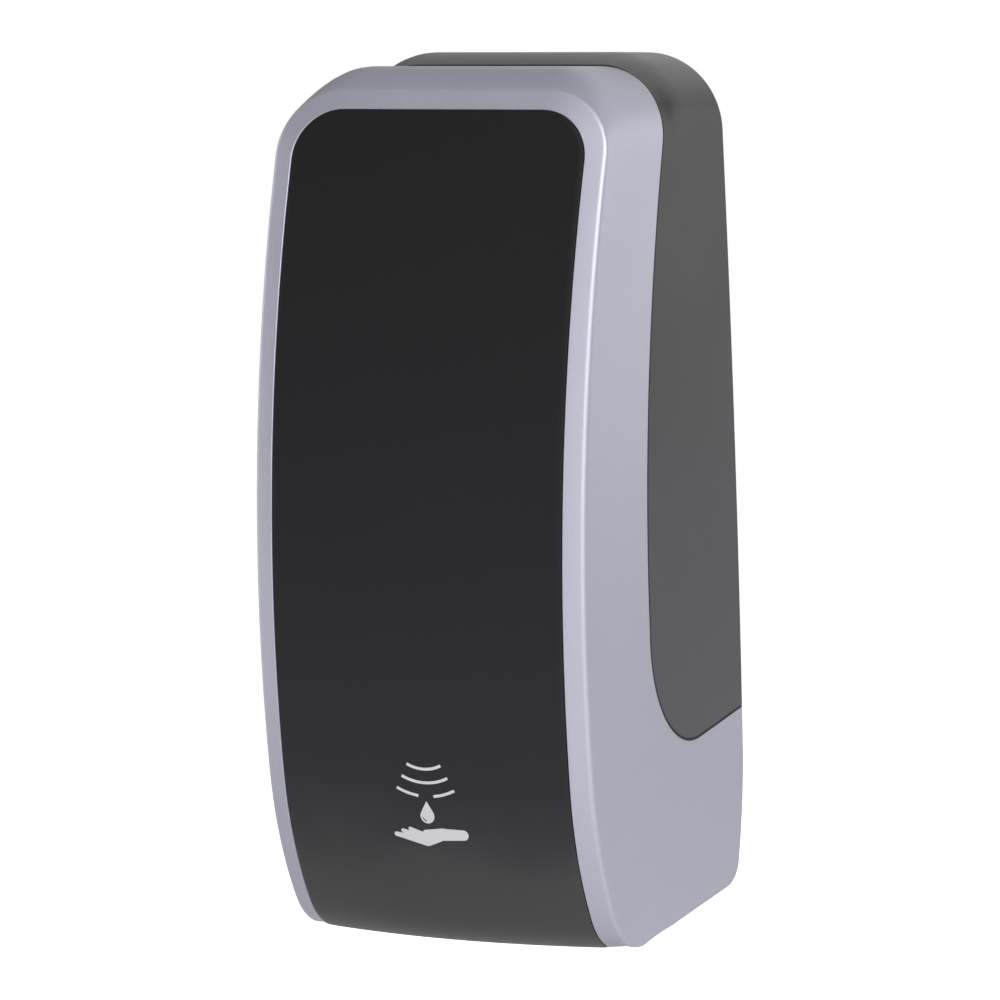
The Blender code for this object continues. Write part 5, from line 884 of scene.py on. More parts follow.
class Workshop:
    """Mesh tools that the sub-assemblies share."""

    @staticmethod
    def round_edges(shape: Shape, edges: Iterable[bmesh.types.BMEdge], radius: float,
                    clamp: bool = False) -> None:
        """Rounds edges of a mesh, kept from overlapping where clamp is set."""
        bmesh.ops.bevel(shape, geom=edges, offset=radius, segments=2, profile=0.5,
                        affect="EDGES", material=-1, clamp_overlap=clamp)

    @staticmethod
    def draped(loops: list[list[Vector]]) -> Shape:
        """Drapes a grid over loops of points, closed round each loop and from last to first.

        Args:
            loops: Loops with the same number of points.

        Returns:
            The mesh.
        """
        rows = [loop + loop[:1] for loop in loops + loops[:1]]
        shape = bmesh.new()
        bmesh.ops.create_grid(shape, x_segments=len(rows[0]) - 1, y_segments=len(rows) - 1,
                              size=1.0)
        shape.verts.ensure_lookup_table()
        for vert, point in zip(shape.verts, (point for row in rows for point in row)):
            vert.co = point
        bmesh.ops.remove_doubles(shape, verts=shape.verts, dist=MERGE)
        bmesh.ops.recalc_face_normals(shape, faces=shape.faces)
        return shape

    @staticmethod
    def box(across: Pair, depth: Pair, height: Pair, radius: float = 0.0) -> Shape:
        """Box with rounded edges.

        Args:
            across: Where it starts and stops across.
            depth: Its depths from the wall.
            height: Its heights.
            radius: Radius of the edges.

        Returns:
            The mesh.
        """
        shape = bmesh.new()
        size = Vector((across[1] - across[0], depth[1] - depth[0], height[1] - height[0]))
        centre = spot(sum(across) / 2, sum(depth) / 2, sum(height) / 2)
        bmesh.ops.create_cube(shape, size=1.0,
                              matrix=Matrix.Translation(centre) @ Matrix.Diagonal(size.to_4d()))
        if radius > 0.0:
            Workshop.round_edges(shape, shape.edges, radius)
        return shape

    @staticmethod
    def rod(centre: Pair, radius: float, span: Pair, sides: int = 32) -> Shape:
        """Cylinder that lies across the cover.

        Args:
            centre: Its depth and height.
            radius: Its radius.
            span: Where it starts and stops across.
            sides: Sides round it.

        Returns:
            The mesh.
        """
        shape = bmesh.new()
        place = Matrix.Translation(spot((span[0] + span[1]) / 2, *centre))
        bmesh.ops.create_cone(shape, cap_ends=True, segments=sides, radius1=radius,
                              radius2=radius, depth=abs(span[1] - span[0]),
                              matrix=place @ Matrix.Rotation(math.pi / 2, 4, "Y"))
        return shape

    @staticmethod
    def turned(profile: list[Pair], steps: int) -> Shape:
        """Turns a profile about the up axis.

        Args:
            profile: Radius and height of its points, from axis to axis.
            steps: Faces round it.

        Returns:
            The mesh.
        """
        shape = bmesh.new()
        verts = [shape.verts.new((radius, 0.0, height)) for radius, height in profile]
        edges = [shape.edges.new(pair) for pair in zip(verts, verts[1:])]
        bmesh.ops.spin(shape, geom=verts + edges, cent=(0.0, 0.0, 0.0), axis=(0.0, 0.0, 1.0),
                       angle=2.0 * math.pi, steps=steps, use_merge=True)
        bmesh.ops.remove_doubles(shape, verts=shape.verts, dist=MERGE)
        bmesh.ops.recalc_face_normals(shape, faces=shape.faces)
        return shape

    @staticmethod
    def stadium(circles: tuple[Circle, ...], depths: Pair, sides: int = 24) -> Shape:
        """Prism round one or more circles drawn in the front view.

        Args:
            circles: Across, height and radius of each, in millimetres.
            depths: Where the prism starts and stops.
            sides: Sides of each circle.

        Returns:
            The prism.
        """
        shape = bmesh.new()
        for across, height, radius in circles:
            for depth in depths:
                bmesh.ops.create_circle(
                    shape, segments=sides, radius=radius * MM,
                    matrix=Matrix.Translation(spot(across * MM, depth, height * MM))
                    @ Matrix.Rotation(math.pi / 2, 4, "X"))
        hull = bmesh.ops.convex_hull(shape, input=shape.verts)
        inside = [item for item in hull["geom_interior"] + hull["geom_unused"]
                  if isinstance(item, bmesh.types.BMVert)]
        bmesh.ops.delete(shape, geom=list(set(inside)), context="VERTS")
        return shape

    @staticmethod
    def arc(radius: float, angles: Pair, width: float, centre: Pair, depths: Pair,
            steps: int = 20) -> Shape:
        """Prism with the section of an arc in the front view.

        Args:
            radius: Radius of the arc's middle line.
            angles: Where it starts and stops, from straight down.
            width: Width of the line.
            centre: Its centre, across and up.
            depths: Where the prism starts and stops.
            steps: Faces along it.

        Returns:
            The prism.
        """
        shape = bmesh.new()
        inner, outer = radius - width / 2, radius + width / 2
        corners = [(inner, depths[0]), (outer, depths[0]), (outer, depths[1]), (inner, depths[1])]
        face = shape.faces.new([
            shape.verts.new(spot(centre[0] + r * math.sin(angles[0]), depth,
                                 centre[1] - r * math.cos(angles[0]))) for r, depth in corners])
        bmesh.ops.spin(shape, geom=[face, *face.edges, *face.verts],
                       cent=spot(centre[0], 0.0, centre[1]), axis=(0.0, -1.0, 0.0),
                       angle=angles[1] - angles[0], steps=steps)
        bmesh.ops.recalc_face_normals(shape, faces=shape.faces)
        return shape

    @staticmethod
    def cad_copy(name: str) -> Shape:
        """Copy of a CAD node's mesh, with its loose triangles joined.

        Args:
            name: Name of the node.

        Returns:
            The mesh.
        """
        shape = bmesh.new()
        shape.from_mesh(frame["nodes"][name].data)
        bmesh.ops.remove_doubles(shape, verts=shape.verts, dist=CAD_MERGE)
        return shape

    @staticmethod
    def together(shapes: list[Shape]) -> Shape:
        """Puts meshes that don't touch into one.

        Args:
            shapes: The meshes, used up.

        Returns:
            The mesh.
        """
        whole = bmesh.new()
        for shape in shapes:
            mesh = mesh_of("part", shape)
            whole.from_mesh(mesh)
            bpy.data.meshes.remove(mesh)
        return whole

    @staticmethod
    def boolean(base: Shape, operation: Operation, tool: Shape) -> Shape:
        """Boolean of two closed meshes, both used up.

        Args:
            base: Mesh that is changed.
            operation: What is done to it.
            tool: Mesh that changes it.

        Returns:
            The new mesh.
        """
        things = [hang(name, mesh_of(name, shape))
                  for name, shape in (("base", base), ("tool", tool))]
        modifier = things[0].modifiers.new("boolean", "BOOLEAN")
        modifier.operation, modifier.solver = operation.value, "EXACT"
        modifier.object = things[1]
        graph = bpy.context.evaluated_depsgraph_get()
        result = bmesh.new()
        result.from_mesh(things[0].evaluated_get(graph).to_mesh())
        for thing in things:
            mesh = thing.data
            bpy.data.objects.remove(thing)
            bpy.data.meshes.remove(mesh)
        return result

    @staticmethod
    def piece(name: str, shape: Shape, material: bpy.types.Material, body: str, slot: str,
              replaces: tuple[str, ...] = (), crisp: float = 35.0) -> bpy.types.Object:
        """Makes a finished piece that rides on a body.

        Args:
            name: Name of the piece.
            shape: Its mesh, used up.
            material: Its finish.
            body: CAD body that carries it.
            slot: Slot of the record that its finish comes from; not used.
            replaces: CAD nodes that it stands for.
            crisp: Angle in degrees above which an edge stays sharp.

        Returns:
            The object.
        """
        mesh = mesh_of(name, shape)
        mesh.shade_smooth()
        mesh.set_sharp_from_angle(angle=math.radians(crisp))
        mesh.materials.append(material)
        thing = hang(name, mesh)
        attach(thing, body)
        if replaces:
            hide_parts(*replaces)
        LOG.info("piece %s: %d faces", name, len(mesh.polygons))
        return thing


class Paint:
    """Every finish of the dispenser, made once."""

    def __init__(self) -> None:
        """Builds the materials."""
        self.silver = SilverPaint("silver_paint", linear(178, 178, 192), metallic=0.55,
                                  roughness=0.42).build()
        # Painted light and shade on the dark shell: its top is painted pale where light from above
        # falls, and below that it is painted darker up the sides and lighter towards the bottom.
        self.dark = HeightShadedPlastic("dark_shell", (
            (0.0, linear(72, 72, 75)), (0.3, linear(61, 61, 64)), (0.6, linear(44, 44, 46)),
            (0.85, linear(38, 38, 40)), (0.93, linear(43, 43, 45)), (0.985, linear(92, 92, 93)),
            (1.0, linear(112, 112, 113))), roughness=0.42, gloss=0.35, low=-90.0 * MM,
            high=150.0 * MM, drift=0.004).build()
        # Painted light and shade on the window: lighter towards the chin, where light from below
        # falls, and darker towards the top.
        self.smoked = HeightShadedPlastic("smoked_window", (
            (0.0, linear(62, 61, 63)), (0.07, linear(59, 58, 60)), (0.13, linear(45, 44, 47)),
            (0.2, linear(34, 33, 36)), (0.32, linear(31, 30, 33)), (0.55, linear(30, 29, 32)),
            (0.8, linear(25, 25, 27)), (1.0, linear(20, 20, 22))), roughness=0.42,
            gloss=0.3).build()
        self.ink = MouldedPlastic("pale_ink", linear(206, 206, 210), 0.55,
                                  grain_depth=0.004 * MM).build()
        self.white = MouldedPlastic("white_plastic", linear(222, 221, 216), 0.42).build()
        self.grey = MouldedPlastic("grey_plastic", linear(150, 152, 156), 0.48).build()
        self.black = MouldedPlastic("black_plastic", linear(30, 30, 32), 0.42).build()
        self.blue = MouldedPlastic("blue_plastic", linear(36, 82, 150), 0.38).build()
        self.acetal = MouldedPlastic("gear_plastic", linear(233, 230, 218), 0.36).build()
        self.clear = ClearPlastic("clear_plastic", linear(226, 236, 240)).build()
        self.steel = BrightMetal("bright_steel", linear(196, 196, 200)).build()
        self.rubber = MouldedPlastic("rubber", linear(26, 26, 27), 0.75,
                                     grain_depth=0.02 * MM).build()
        self.silicone = ClearPlastic("silicone_hose", linear(228, 224, 210), 0.35,
                                     clear=0.5).build()
        self.board = BoardLacquer("board_lacquer", 46.0 * MM, 47.6 * MM).build()
        self.cell_up = CellJacket("cell_jacket_up", -117.8 * MM, -67.6 * MM).build()
        self.cell_down = CellJacket("cell_jacket_down", -67.6 * MM, -117.8 * MM).build()
        self.lamp = ClearPlastic("lamp_red", linear(200, 40, 36), 0.12, clear=0.5).build()


@dataclass
class Cover:
    """Hinged cover: silver frame, dark rear shell and smoked window."""

    form: CoverForm
    paint: Paint
    frame_gap: float = 0.15 * MM
    shell_gap: float = 0.9 * MM
    # Inset and gaps of the black strip of painted shade in the seam.
    strip_inset: float = 0.08 * MM
    strip_gap: float = 0.05 * MM
    rim_steps: int = 6
    rim_inner_share: float = 0.6
    shell_steps: int = 14
    flank_steps: int = 12
    flank_crowding: float = 1.6
    crease_steps: int = 8
    crease_top_share: float = 0.45
    frame_edge: float = 0.25 * MM
    edge_round: float = 0.4 * MM
    overcut: float = 1.0 * MM
    sink: float = 0.8 * MM
    window_gap: float = 0.25 * MM
    window_round: float = 0.3 * MM
    window_rim: float = math.radians(55.0)
    window_crisp: float = 50.0
    window_columns: int = 40
    opening_half: float = 14.5 * MM
    opening_depths: Pair = (26.5 * MM, 75.5 * MM)
    opening_cut: Pair = (-4.0 * MM, 20.0 * MM)
    tab_heights: Pair = (70.0 * MM, -34.5 * MM)
    tab_half: float = 7.0 * MM
    tab_thickness: float = 2.4 * MM
    tab_root: float = 5.0 * MM
    tab_reach: float = 12.0 * MM
    tab_clearance: float = 0.3 * MM
    tab_cut: float = 4.0 * MM
    root_reach: float = 1.1 * MM
    root_margin: float = 1.0 * MM
    screw_back: float = 7.0 * MM
    screw_hole: float = 1.5 * MM
    screw_bite: float = 1.5 * MM
    hinge: Pair = (8.0 * MM, -139.993 * MM)
    boss_radius: float = 4.6 * MM
    boss_sides: int = 40
    boss_start: float = 57.0 * MM
    bore_radius: float = 2.2 * MM
    bore_end: float = 61.8 * MM
    catch_half: float = 10.0 * MM
    catch_depths: Pair = (16.0 * MM, 18.5 * MM)
    catch_low: float = 138.98 * MM
    key_half: float = 3.0 * MM
    key_depths: Pair = (19.85 * MM, 22.45 * MM)
    key_round: float = 0.5 * MM

    def _crease_loops(self) -> list[list[Vector]]:
        """Loops from the seam's plane forwards and round the crease to the band.

        Returns:
            The loops, without the one in the seam's plane.
        """
        form = self.form
        high, low = form.along_at_height(form.crease_top), form.along_at_angle(form.turn_end)
        crease = form.front_loop(0.0, low, high, form.crease_corner, form.low_corner, 0.0, False)
        seam = form.plane_loop(form.seam_plane(), 0.0)
        edge = form.window_loop(0.0, 0.0)
        middle = form.low_steps + form.low_corner_steps + form.side_steps // 2
        behind = form.crease_round / (seam[middle] - crease[middle]).length
        ahead = form.crease_round / (edge[middle] - crease[middle]).length
        backs = [behind + (1.0 - behind) * (k / self.flank_steps) ** self.flank_crowding
                 for k in range(self.flank_steps - 1, 0, -1)]
        loops = [[form.flank(c, s, back) for c, s in zip(crease, seam)] for back in backs]
        for k in range(self.crease_steps + 1):
            t = k / self.crease_steps
            loop = []
            for c, s, e in zip(crease, seam, edge):
                share = 1.0 - (1.0 - self.crease_top_share) * form.upper_share(c.z)
                loop.append(form.flank(c, s, behind * share) * (1 - t) ** 2
                            + c * 2 * t * (1 - t) + c.lerp(e, ahead * share) * t ** 2)
            loops.append(loop)
        return loops

    def blank(self, inset: float = 0.0) -> Shape:
        """The whole cover without its window, before the seam divides it.

        Args:
            inset: Distance by which the outer side of the walls is drawn in.

        Returns:
            A closed tray with a hole in its front.
        """
        form = self.form
        seam = form.seam_plane()
        rim, turn = form.rim_depth, form.rim_round
        outer = []
        for k in range(self.rim_steps + 1):
            angle = math.pi / 2 * k / self.rim_steps
            depth = rim + turn * (1.0 - math.cos(angle))
            outer.append(form.plane_loop(depth, inset, turn * (1.0 - math.sin(angle)), True))
        for k in range(1, self.shell_steps + 1):
            depth = rim + turn + (seam - rim - turn) * k / self.shell_steps
            outer.append(form.plane_loop(depth, inset, 0.0, True))
        edge_in = form.window_loop(-self.frame_edge, 0.0)
        edge_out = form.window_loop(0.0, -self.frame_edge)
        step = form.window_loop(0.0, -form.rebate)
        ledge = form.window_loop(form.ledge_width, -form.rebate)
        back = form.window_loop(form.ledge_width, -form.rebate - form.ledge_thickness)
        high, low = form.along_at_height(form.crease_top), form.along_at_angle(form.turn_end)
        inner_crease = form.front_loop(form.wall, low, high - form.wall,
                                       form.crease_corner - form.wall, form.low_corner,
                                       -form.rebate - form.ledge_thickness / 2, False)
        inner = [form.plane_loop(depth, form.wall) for depth in (seam, seam / 2, rim + turn)]
        inner.append(form.plane_loop(rim, form.wall, turn * self.rim_inner_share))
        return Workshop.draped(outer + self._crease_loops()
                               + [edge_in, edge_out, step, ledge, back, inner_crease] + inner)

    def _behind_seam(self, shift: float) -> Shape:
        """Everything behind the seam, as a prism across the cover.

        Args:
            shift: Distance by which the seam is moved forwards.

        Returns:
            The prism.
        """
        points = self.form.seam_curve(shift)
        points.append((-self.form.wall, points[0][1]))
        half = 2.0 * self.form.rear_half_low
        shape = bmesh.new()
        face = shape.faces.new([shape.verts.new(spot(-half, d, z)) for d, z in points])
        grown = bmesh.ops.extrude_face_region(shape, geom=[face])
        moved = [item for item in grown["geom"] if isinstance(item, bmesh.types.BMVert)]
        bmesh.ops.translate(shape, verts=moved, vec=Vector((2.0 * half, 0.0, 0.0)))
        bmesh.ops.recalc_face_normals(shape, faces=shape.faces)
        return shape

    def _tabs(self) -> list[tuple[int, float, float, float]]:
        """Places of the tabs that the rear shell is screwed to.

        Returns:
            Side, height, seam depth and outer face of each tab.
        """
        form = self.form
        tabs = []
        for height in self.tab_heights:
            seam = form.front_depth(height) - form.frame_depth
            corners = ((seam - self.tab_reach, height - self.tab_half),
                       (seam + self.tab_root, height - self.tab_half),
                       (seam + self.tab_root, height + self.tab_half))
            face = min(form.half_at(*corner) for corner in corners) - form.wall - self.tab_clearance
            tabs += [(side, height, seam, face) for side in (-1, 1)]
        return tabs

    def _frame_parts(self) -> tuple[list[Shape], list[Shape]]:
        """Tabs and hinge bosses of the frame.

        Returns:
            The meshes that join the frame, and the holes that go through them.
        """
        added, holes = [], []
        for side, height, seam, face in self._tabs():
            tongue = Workshop.box(
                tuple(sorted((side * (face - self.tab_thickness), side * face))),
                (seam - self.tab_reach, seam + 2.0 * self.tab_root),
                (height - self.tab_half, height + self.tab_half), self.edge_round)
            root = Workshop.box(
                tuple(sorted((side * (face - self.tab_thickness),
                              side * (face + self.root_reach)))),
                (seam + self.tab_root, seam + 2.0 * self.tab_root + self.root_margin),
                (height - self.tab_half + self.root_margin,
                 height + self.tab_half - self.root_margin))
            added.append(Workshop.boolean(tongue, Operation.FUSE, root))
            holes.append(Workshop.rod((seam - self.screw_back, height), self.screw_hole,
                                      (side * (face - self.tab_cut),
                                       side * (face + self.overcut))))
        for side in (-1, 1):
            stop = self.form.half_at(*self.hinge) - self.form.wall + self.sink
            added.append(Workshop.rod(self.hinge, self.boss_radius,
                                      (side * self.boss_start, side * stop), self.boss_sides))
            holes.append(Workshop.rod(self.hinge, self.bore_radius,
                                      (side * (self.boss_start - self.overcut),
                                       side * self.bore_end)))
        return added, holes

    def build_frame(self) -> None:
        """Silver front frame with its tabs, its hinge bosses and the opening underneath."""
        shape = Workshop.boolean(self.blank(), Operation.CUT, self._behind_seam(self.frame_gap))
        added, holes = self._frame_parts()
        low = self.form.underside(self.form.turn[0])
        holes.append(Workshop.box((-self.opening_half, self.opening_half), self.opening_depths,
                                  tuple(low + cut for cut in self.opening_cut)))
        shape = Workshop.boolean(shape, Operation.FUSE, Workshop.together(added))
        shape = Workshop.boolean(shape, Operation.CUT, Workshop.together(holes))
        Workshop.piece("silver_frame", shape, self.paint.silver, "cover", "silver_plastic",
                       ("front_frame",))

    def build_shell(self) -> None:
        """Dark rear shell: the catch, the key slot and screw holes."""
        form = self.form
        shape = Workshop.boolean(self.blank(), Operation.KEEP, self._behind_seam(-self.shell_gap))
        share = self.catch_depths[1] / form.seam_plane()
        ceiling = form.top + (form.seam_top - form.top) * share - form.wall
        catch = Workshop.box((-self.catch_half, self.catch_half), self.catch_depths,
                             (self.catch_low, ceiling + self.sink), self.edge_round)
        shape = Workshop.boolean(shape, Operation.FUSE, catch)
        holes = [Workshop.box((-self.key_half, self.key_half), self.key_depths,
                              (ceiling - 2.0 * form.wall, ceiling + 2.0 * form.wall),
                              self.key_round)]
        for side, height, seam, _ in self._tabs():
            wall = form.half_at(seam - self.screw_back, height) - form.wall
            holes.append(Workshop.rod((seam - self.screw_back, height), self.screw_hole,
                                      (side * (wall - self.overcut),
                                       side * (wall + self.screw_bite))))
        shape = Workshop.boolean(shape, Operation.CUT, Workshop.together(holes))
        Workshop.piece("dark_shell", shape, self.paint.dark, "cover", "dark_plastic",
                       ("rear_shell",))

    def build_seam_shade(self) -> None:
        """Black strip just below the surface in the seam: painted shade that darkens the gap between
        the frame and the shell.
        """
        shape = Workshop.boolean(self.blank(self.strip_inset), Operation.KEEP,
                                 self._behind_seam(self.frame_gap - self.strip_gap))
        shape = Workshop.boolean(shape, Operation.CUT,
                                 self._behind_seam(self.strip_gap - self.shell_gap))
        Workshop.piece("seam_shade_strip", shape, self.paint.rubber, "cover", "dark_plastic")

    def window_sheet(self, lift: float, inset: float, columns: int) -> Shape:
        """Curved sheet with the window's outline.

        Args:
            lift: Distance off the window's outer face.
            inset: Distance in from the frame's edge.
            columns: Faces across.

        Returns:
            An open sheet.
        """
        form = self.form

        def half_width(along: float) -> float:
            """Half width of the window at a place along the profile."""
            return form.front_half(form.point(along)[1]) - form.band - inset

        pairs = form.outline(half_width, form.window_low() + inset, form.window_high() - inset,
                             form.window_corner - inset, form.window_low_corner - inset)
        rows = pairs[form.low_steps:form.low_steps + form.low_corner_steps + form.side_steps
                     + form.corner_steps + 1]
        sheet = bmesh.new()
        bmesh.ops.create_grid(sheet, x_segments=columns, y_segments=len(rows) - 1, size=1.0)
        sheet.verts.ensure_lookup_table()
        for index, vert in enumerate(sheet.verts):
            half, along = rows[index // (columns + 1)]
            across = half * (2.0 * (index % (columns + 1)) / columns - 1.0)
            depth, height = form.point(along, lift)
            vert.co = spot(across, depth + form.rise(along) + form.bulge(height, across), height)
        return sheet

    def window_slab(self, lifts: Pair, inset: float, columns: int) -> Shape:
        """Closed slab with the window's outline.

        Args:
            lifts: Distances of its faces off the window's outer face.
            inset: Distance in from the frame's edge.
            columns: Faces across.

        Returns:
            The slab.
        """
        shape = Workshop.together([self.window_sheet(lift, inset, columns) for lift in lifts])
        bmesh.ops.bridge_loops(shape, edges=[edge for edge in shape.edges if edge.is_boundary])
        bmesh.ops.recalc_face_normals(shape, faces=shape.faces)
        return shape

    def build_window(self) -> None:
        """Smoked window that rolls under at the chin, with rounded rims."""
        shape = self.window_slab((0.0, -self.form.window_thickness), self.window_gap,
                                 self.window_columns)
        rim = [edge for edge in shape.edges if edge.calc_face_angle(0.0) > self.window_rim]
        Workshop.round_edges(shape, rim, self.window_round, clamp=True)
        Workshop.piece("smoked_window", shape, self.paint.smoked, "cover", "smoked_plastic",
                       ("front_window",), crisp=self.window_crisp)

    def build(self) -> None:
        """Makes the cover."""
        self.build_frame()
        self.build_shell()
        self.build_seam_shade()
        self.build_window()
        ChinPrint(self, self.paint).build()


@dataclass
class ChinPrint:
    """Pale sign on the chin: sensor waves, a drop and an open hand, as on any such dispenser."""

    cover: Cover
    paint: Paint
    skin: Pair = (0.01 * MM, 0.05 * MM)
    skin_inset: float = 1.0 * MM
    skin_columns: int = 60
    depths: Pair = (100.0 * MM, 140.0 * MM)
    wave_centre: Pair = (0.0, -77.5 * MM)
    wave_radii: tuple[float, ...] = (13.6 * MM, 18.4 * MM, 23.2 * MM)
    wave_half: float = math.radians(27.5)
    wave_width: float = 1.0 * MM
    wave_gap: float = math.radians(7.0)
    drop: tuple[Circle, ...] = ((0.0, -107.6, 2.6), (0.0, -102.6, 0.15))
    glint_radius: float = 1.75 * MM
    glint_angles: Pair = (math.radians(-75.0), math.radians(-10.0))
    glint_width: float = 0.4 * MM
    hand: tuple[tuple[Circle, ...], ...] = (
        ((-1.0, -116.4, 1.7), (-12.2, -114.6, 0.75)),
        ((-2.0, -115.4, 1.2), (-9.6, -113.2, 0.65)),
        ((-1.0, -114.9, 1.2), (-6.9, -112.4, 0.6)),
        ((6.0, -113.6, 1.9), (-0.5, -116.0, 2.2)),
        ((6.0, -113.8, 2.1), (13.0, -113.6, 1.8)),
        ((5.4, -112.9, 1.3), (-1.2, -113.3, 0.8)))

    def _waves(self) -> list[Shape]:
        """Arcs of the waves, the outermost with a gap in its middle.

        Returns:
            A prism for each stretch.
        """
        waves = []
        for radius in self.wave_radii:
            spans = [(-self.wave_half, self.wave_half)]
            if radius == self.wave_radii[-1]:
                spans = [(-self.wave_half, -self.wave_gap), (self.wave_gap, self.wave_half)]
            waves += [Workshop.arc(radius, span, self.wave_width, self.wave_centre, self.depths)
                      for span in spans]
        return waves

    def _drop(self) -> Shape:
        """The drop, with a glint cut out of it.

        Returns:
            A prism.
        """
        across, height, _ = self.drop[0]
        glint = Workshop.arc(self.glint_radius, self.glint_angles, self.glint_width,
                             (across * MM, height * MM), self.depths)
        return Workshop.boolean(Workshop.stadium(self.drop, self.depths), Operation.CUT, glint)

    def _hand(self) -> Shape:
        """The open hand: three fingers, the palm, the wrist and the thumb.

        Returns:
            A prism.
        """
        hand = Workshop.stadium(self.hand[0], self.depths)
        for finger in self.hand[1:]:
            hand = Workshop.boolean(hand, Operation.FUSE, Workshop.stadium(finger, self.depths))
        return hand

    def build(self) -> None:
        """Cuts the sign out of a thin skin on the window."""
        marks = Workshop.together([*self._waves(), self._drop(), self._hand()])
        skin = self.cover.window_slab(self.skin, self.skin_inset, self.skin_columns)
        shape = Workshop.boolean(skin, Operation.KEEP, marks)
        Workshop.piece("chin_sign", shape, self.paint.ink, "cover", "white_plastic")


@dataclass
class Inside:
    """Pieces under the cover: the CAD nodes' finishes and rounded copies of the edged ones."""

    paint: Paint
    by_slot: dict[str, str] = field(default_factory=lambda: {
        "silver_plastic": "silver", "dark_plastic": "dark", "smoked_plastic": "smoked",
        "white_plastic": "white", "grey_plastic": "grey", "black_plastic": "black",
        "clear_plastic": "clear", "gear_plastic": "acetal", "steel": "steel",
        "rubber": "rubber", "silicone": "silicone", "board": "board", "cell_jacket": "cell_up",
        "blue_plastic": "blue", "lamp_plastic": "lamp"})
    upside_down: tuple[str, ...] = ("battery_2", "battery_3")
    latch_travel: float = 6.0 * MM
    spring_crisp: float = 70.0
    flat_angle: float = math.radians(1.0)
    edge_angle: float = math.radians(35.0)
    rounding: dict[str, float] = field(default_factory=lambda: {
        "wall_plate": 0.5, "latch_guide": 0.5, "latch_slider": 0.5, "chassis": 0.3,
        "refill_tank": 0.2, "tank_lid": 0.2, "pump_housing": 0.12, "pump_cover": 0.4,
        "gearbox_housing": 0.5, "battery_box": 0.12, "battery_door": 0.12,
        "control_panel": 0.12, "power_button": 0.3, "dose_switch": 0.3, "nozzle_shroud": 0.5,
        "sensor_block": 0.5, "sensor_lens": 0.3, "inlet_socket": 0.2, "nozzle": 0.4,
        "rotor": 0.2, "output_gear": 0.2, "compound_gear": 0.12, "motor": 0.5,
        "circuit_board": 0.3, "valve_poppet": 0.3, "roller_1": 0.4, "roller_2": 0.4,
        "roller_3": 0.4, "rotor_shaft": 0.3, "status_lamp": 0.3, "sensor_sender": 0.2,
        "sensor_receiver": 0.2})

    def soften(self, name: str, material: bpy.types.Material, slot: str) -> None:
        """Makes a copy of a CAD node with rounded edges in its place.

        Args:
            name: Name of the node.
            material: Its finish.
            slot: Slot of the record that its finish comes from.
        """
        shape = Workshop.cad_copy(name)
        bmesh.ops.dissolve_limit(shape, angle_limit=self.flat_angle, verts=shape.verts,
                                 edges=shape.edges)
        edges = [edge for edge in shape.edges
                 if edge.is_manifold and edge.calc_face_angle(0.0) > self.edge_angle]
        Workshop.round_edges(shape, edges, self.rounding[name] * MM)
        body = frame["nodes"][name]["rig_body"]
        piece = Workshop.piece(f"moulded_{name}", shape, material, body, slot, (name,))
        even = piece.modifiers.new("even_faces", "WEIGHTED_NORMAL")
        even.keep_sharp = True

    def build_spring(self) -> None:
        """Latch spring: a smooth-shaded copy of the CAD coil, with a mesh of its own."""
        shape = Workshop.cad_copy("latch_spring")
        body = frame["nodes"]["latch_spring"]["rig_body"]
        spring = Workshop.piece("coiled_latch_spring", shape, self.paint.steel, body, "steel",
                                ("latch_spring",), self.spring_crisp)
        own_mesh(spring)

    def build(self) -> None:
        """Gives every CAD node its finish and rounds the edged ones."""
        for part in frame["record"]["subparts"]:
            name, slot = part["node"], part["material_slot"]
            material = getattr(self.paint, self.by_slot[slot])
            if name in self.upside_down:
                material = self.paint.cell_down
            mesh = frame["nodes"][name].data
            mesh.materials.clear()
            mesh.materials.append(material)
            if name in self.rounding:
                self.soften(name, material, slot)
        self.build_spring()
        LOG.info("finished %d CAD nodes", len(frame["nodes"]))


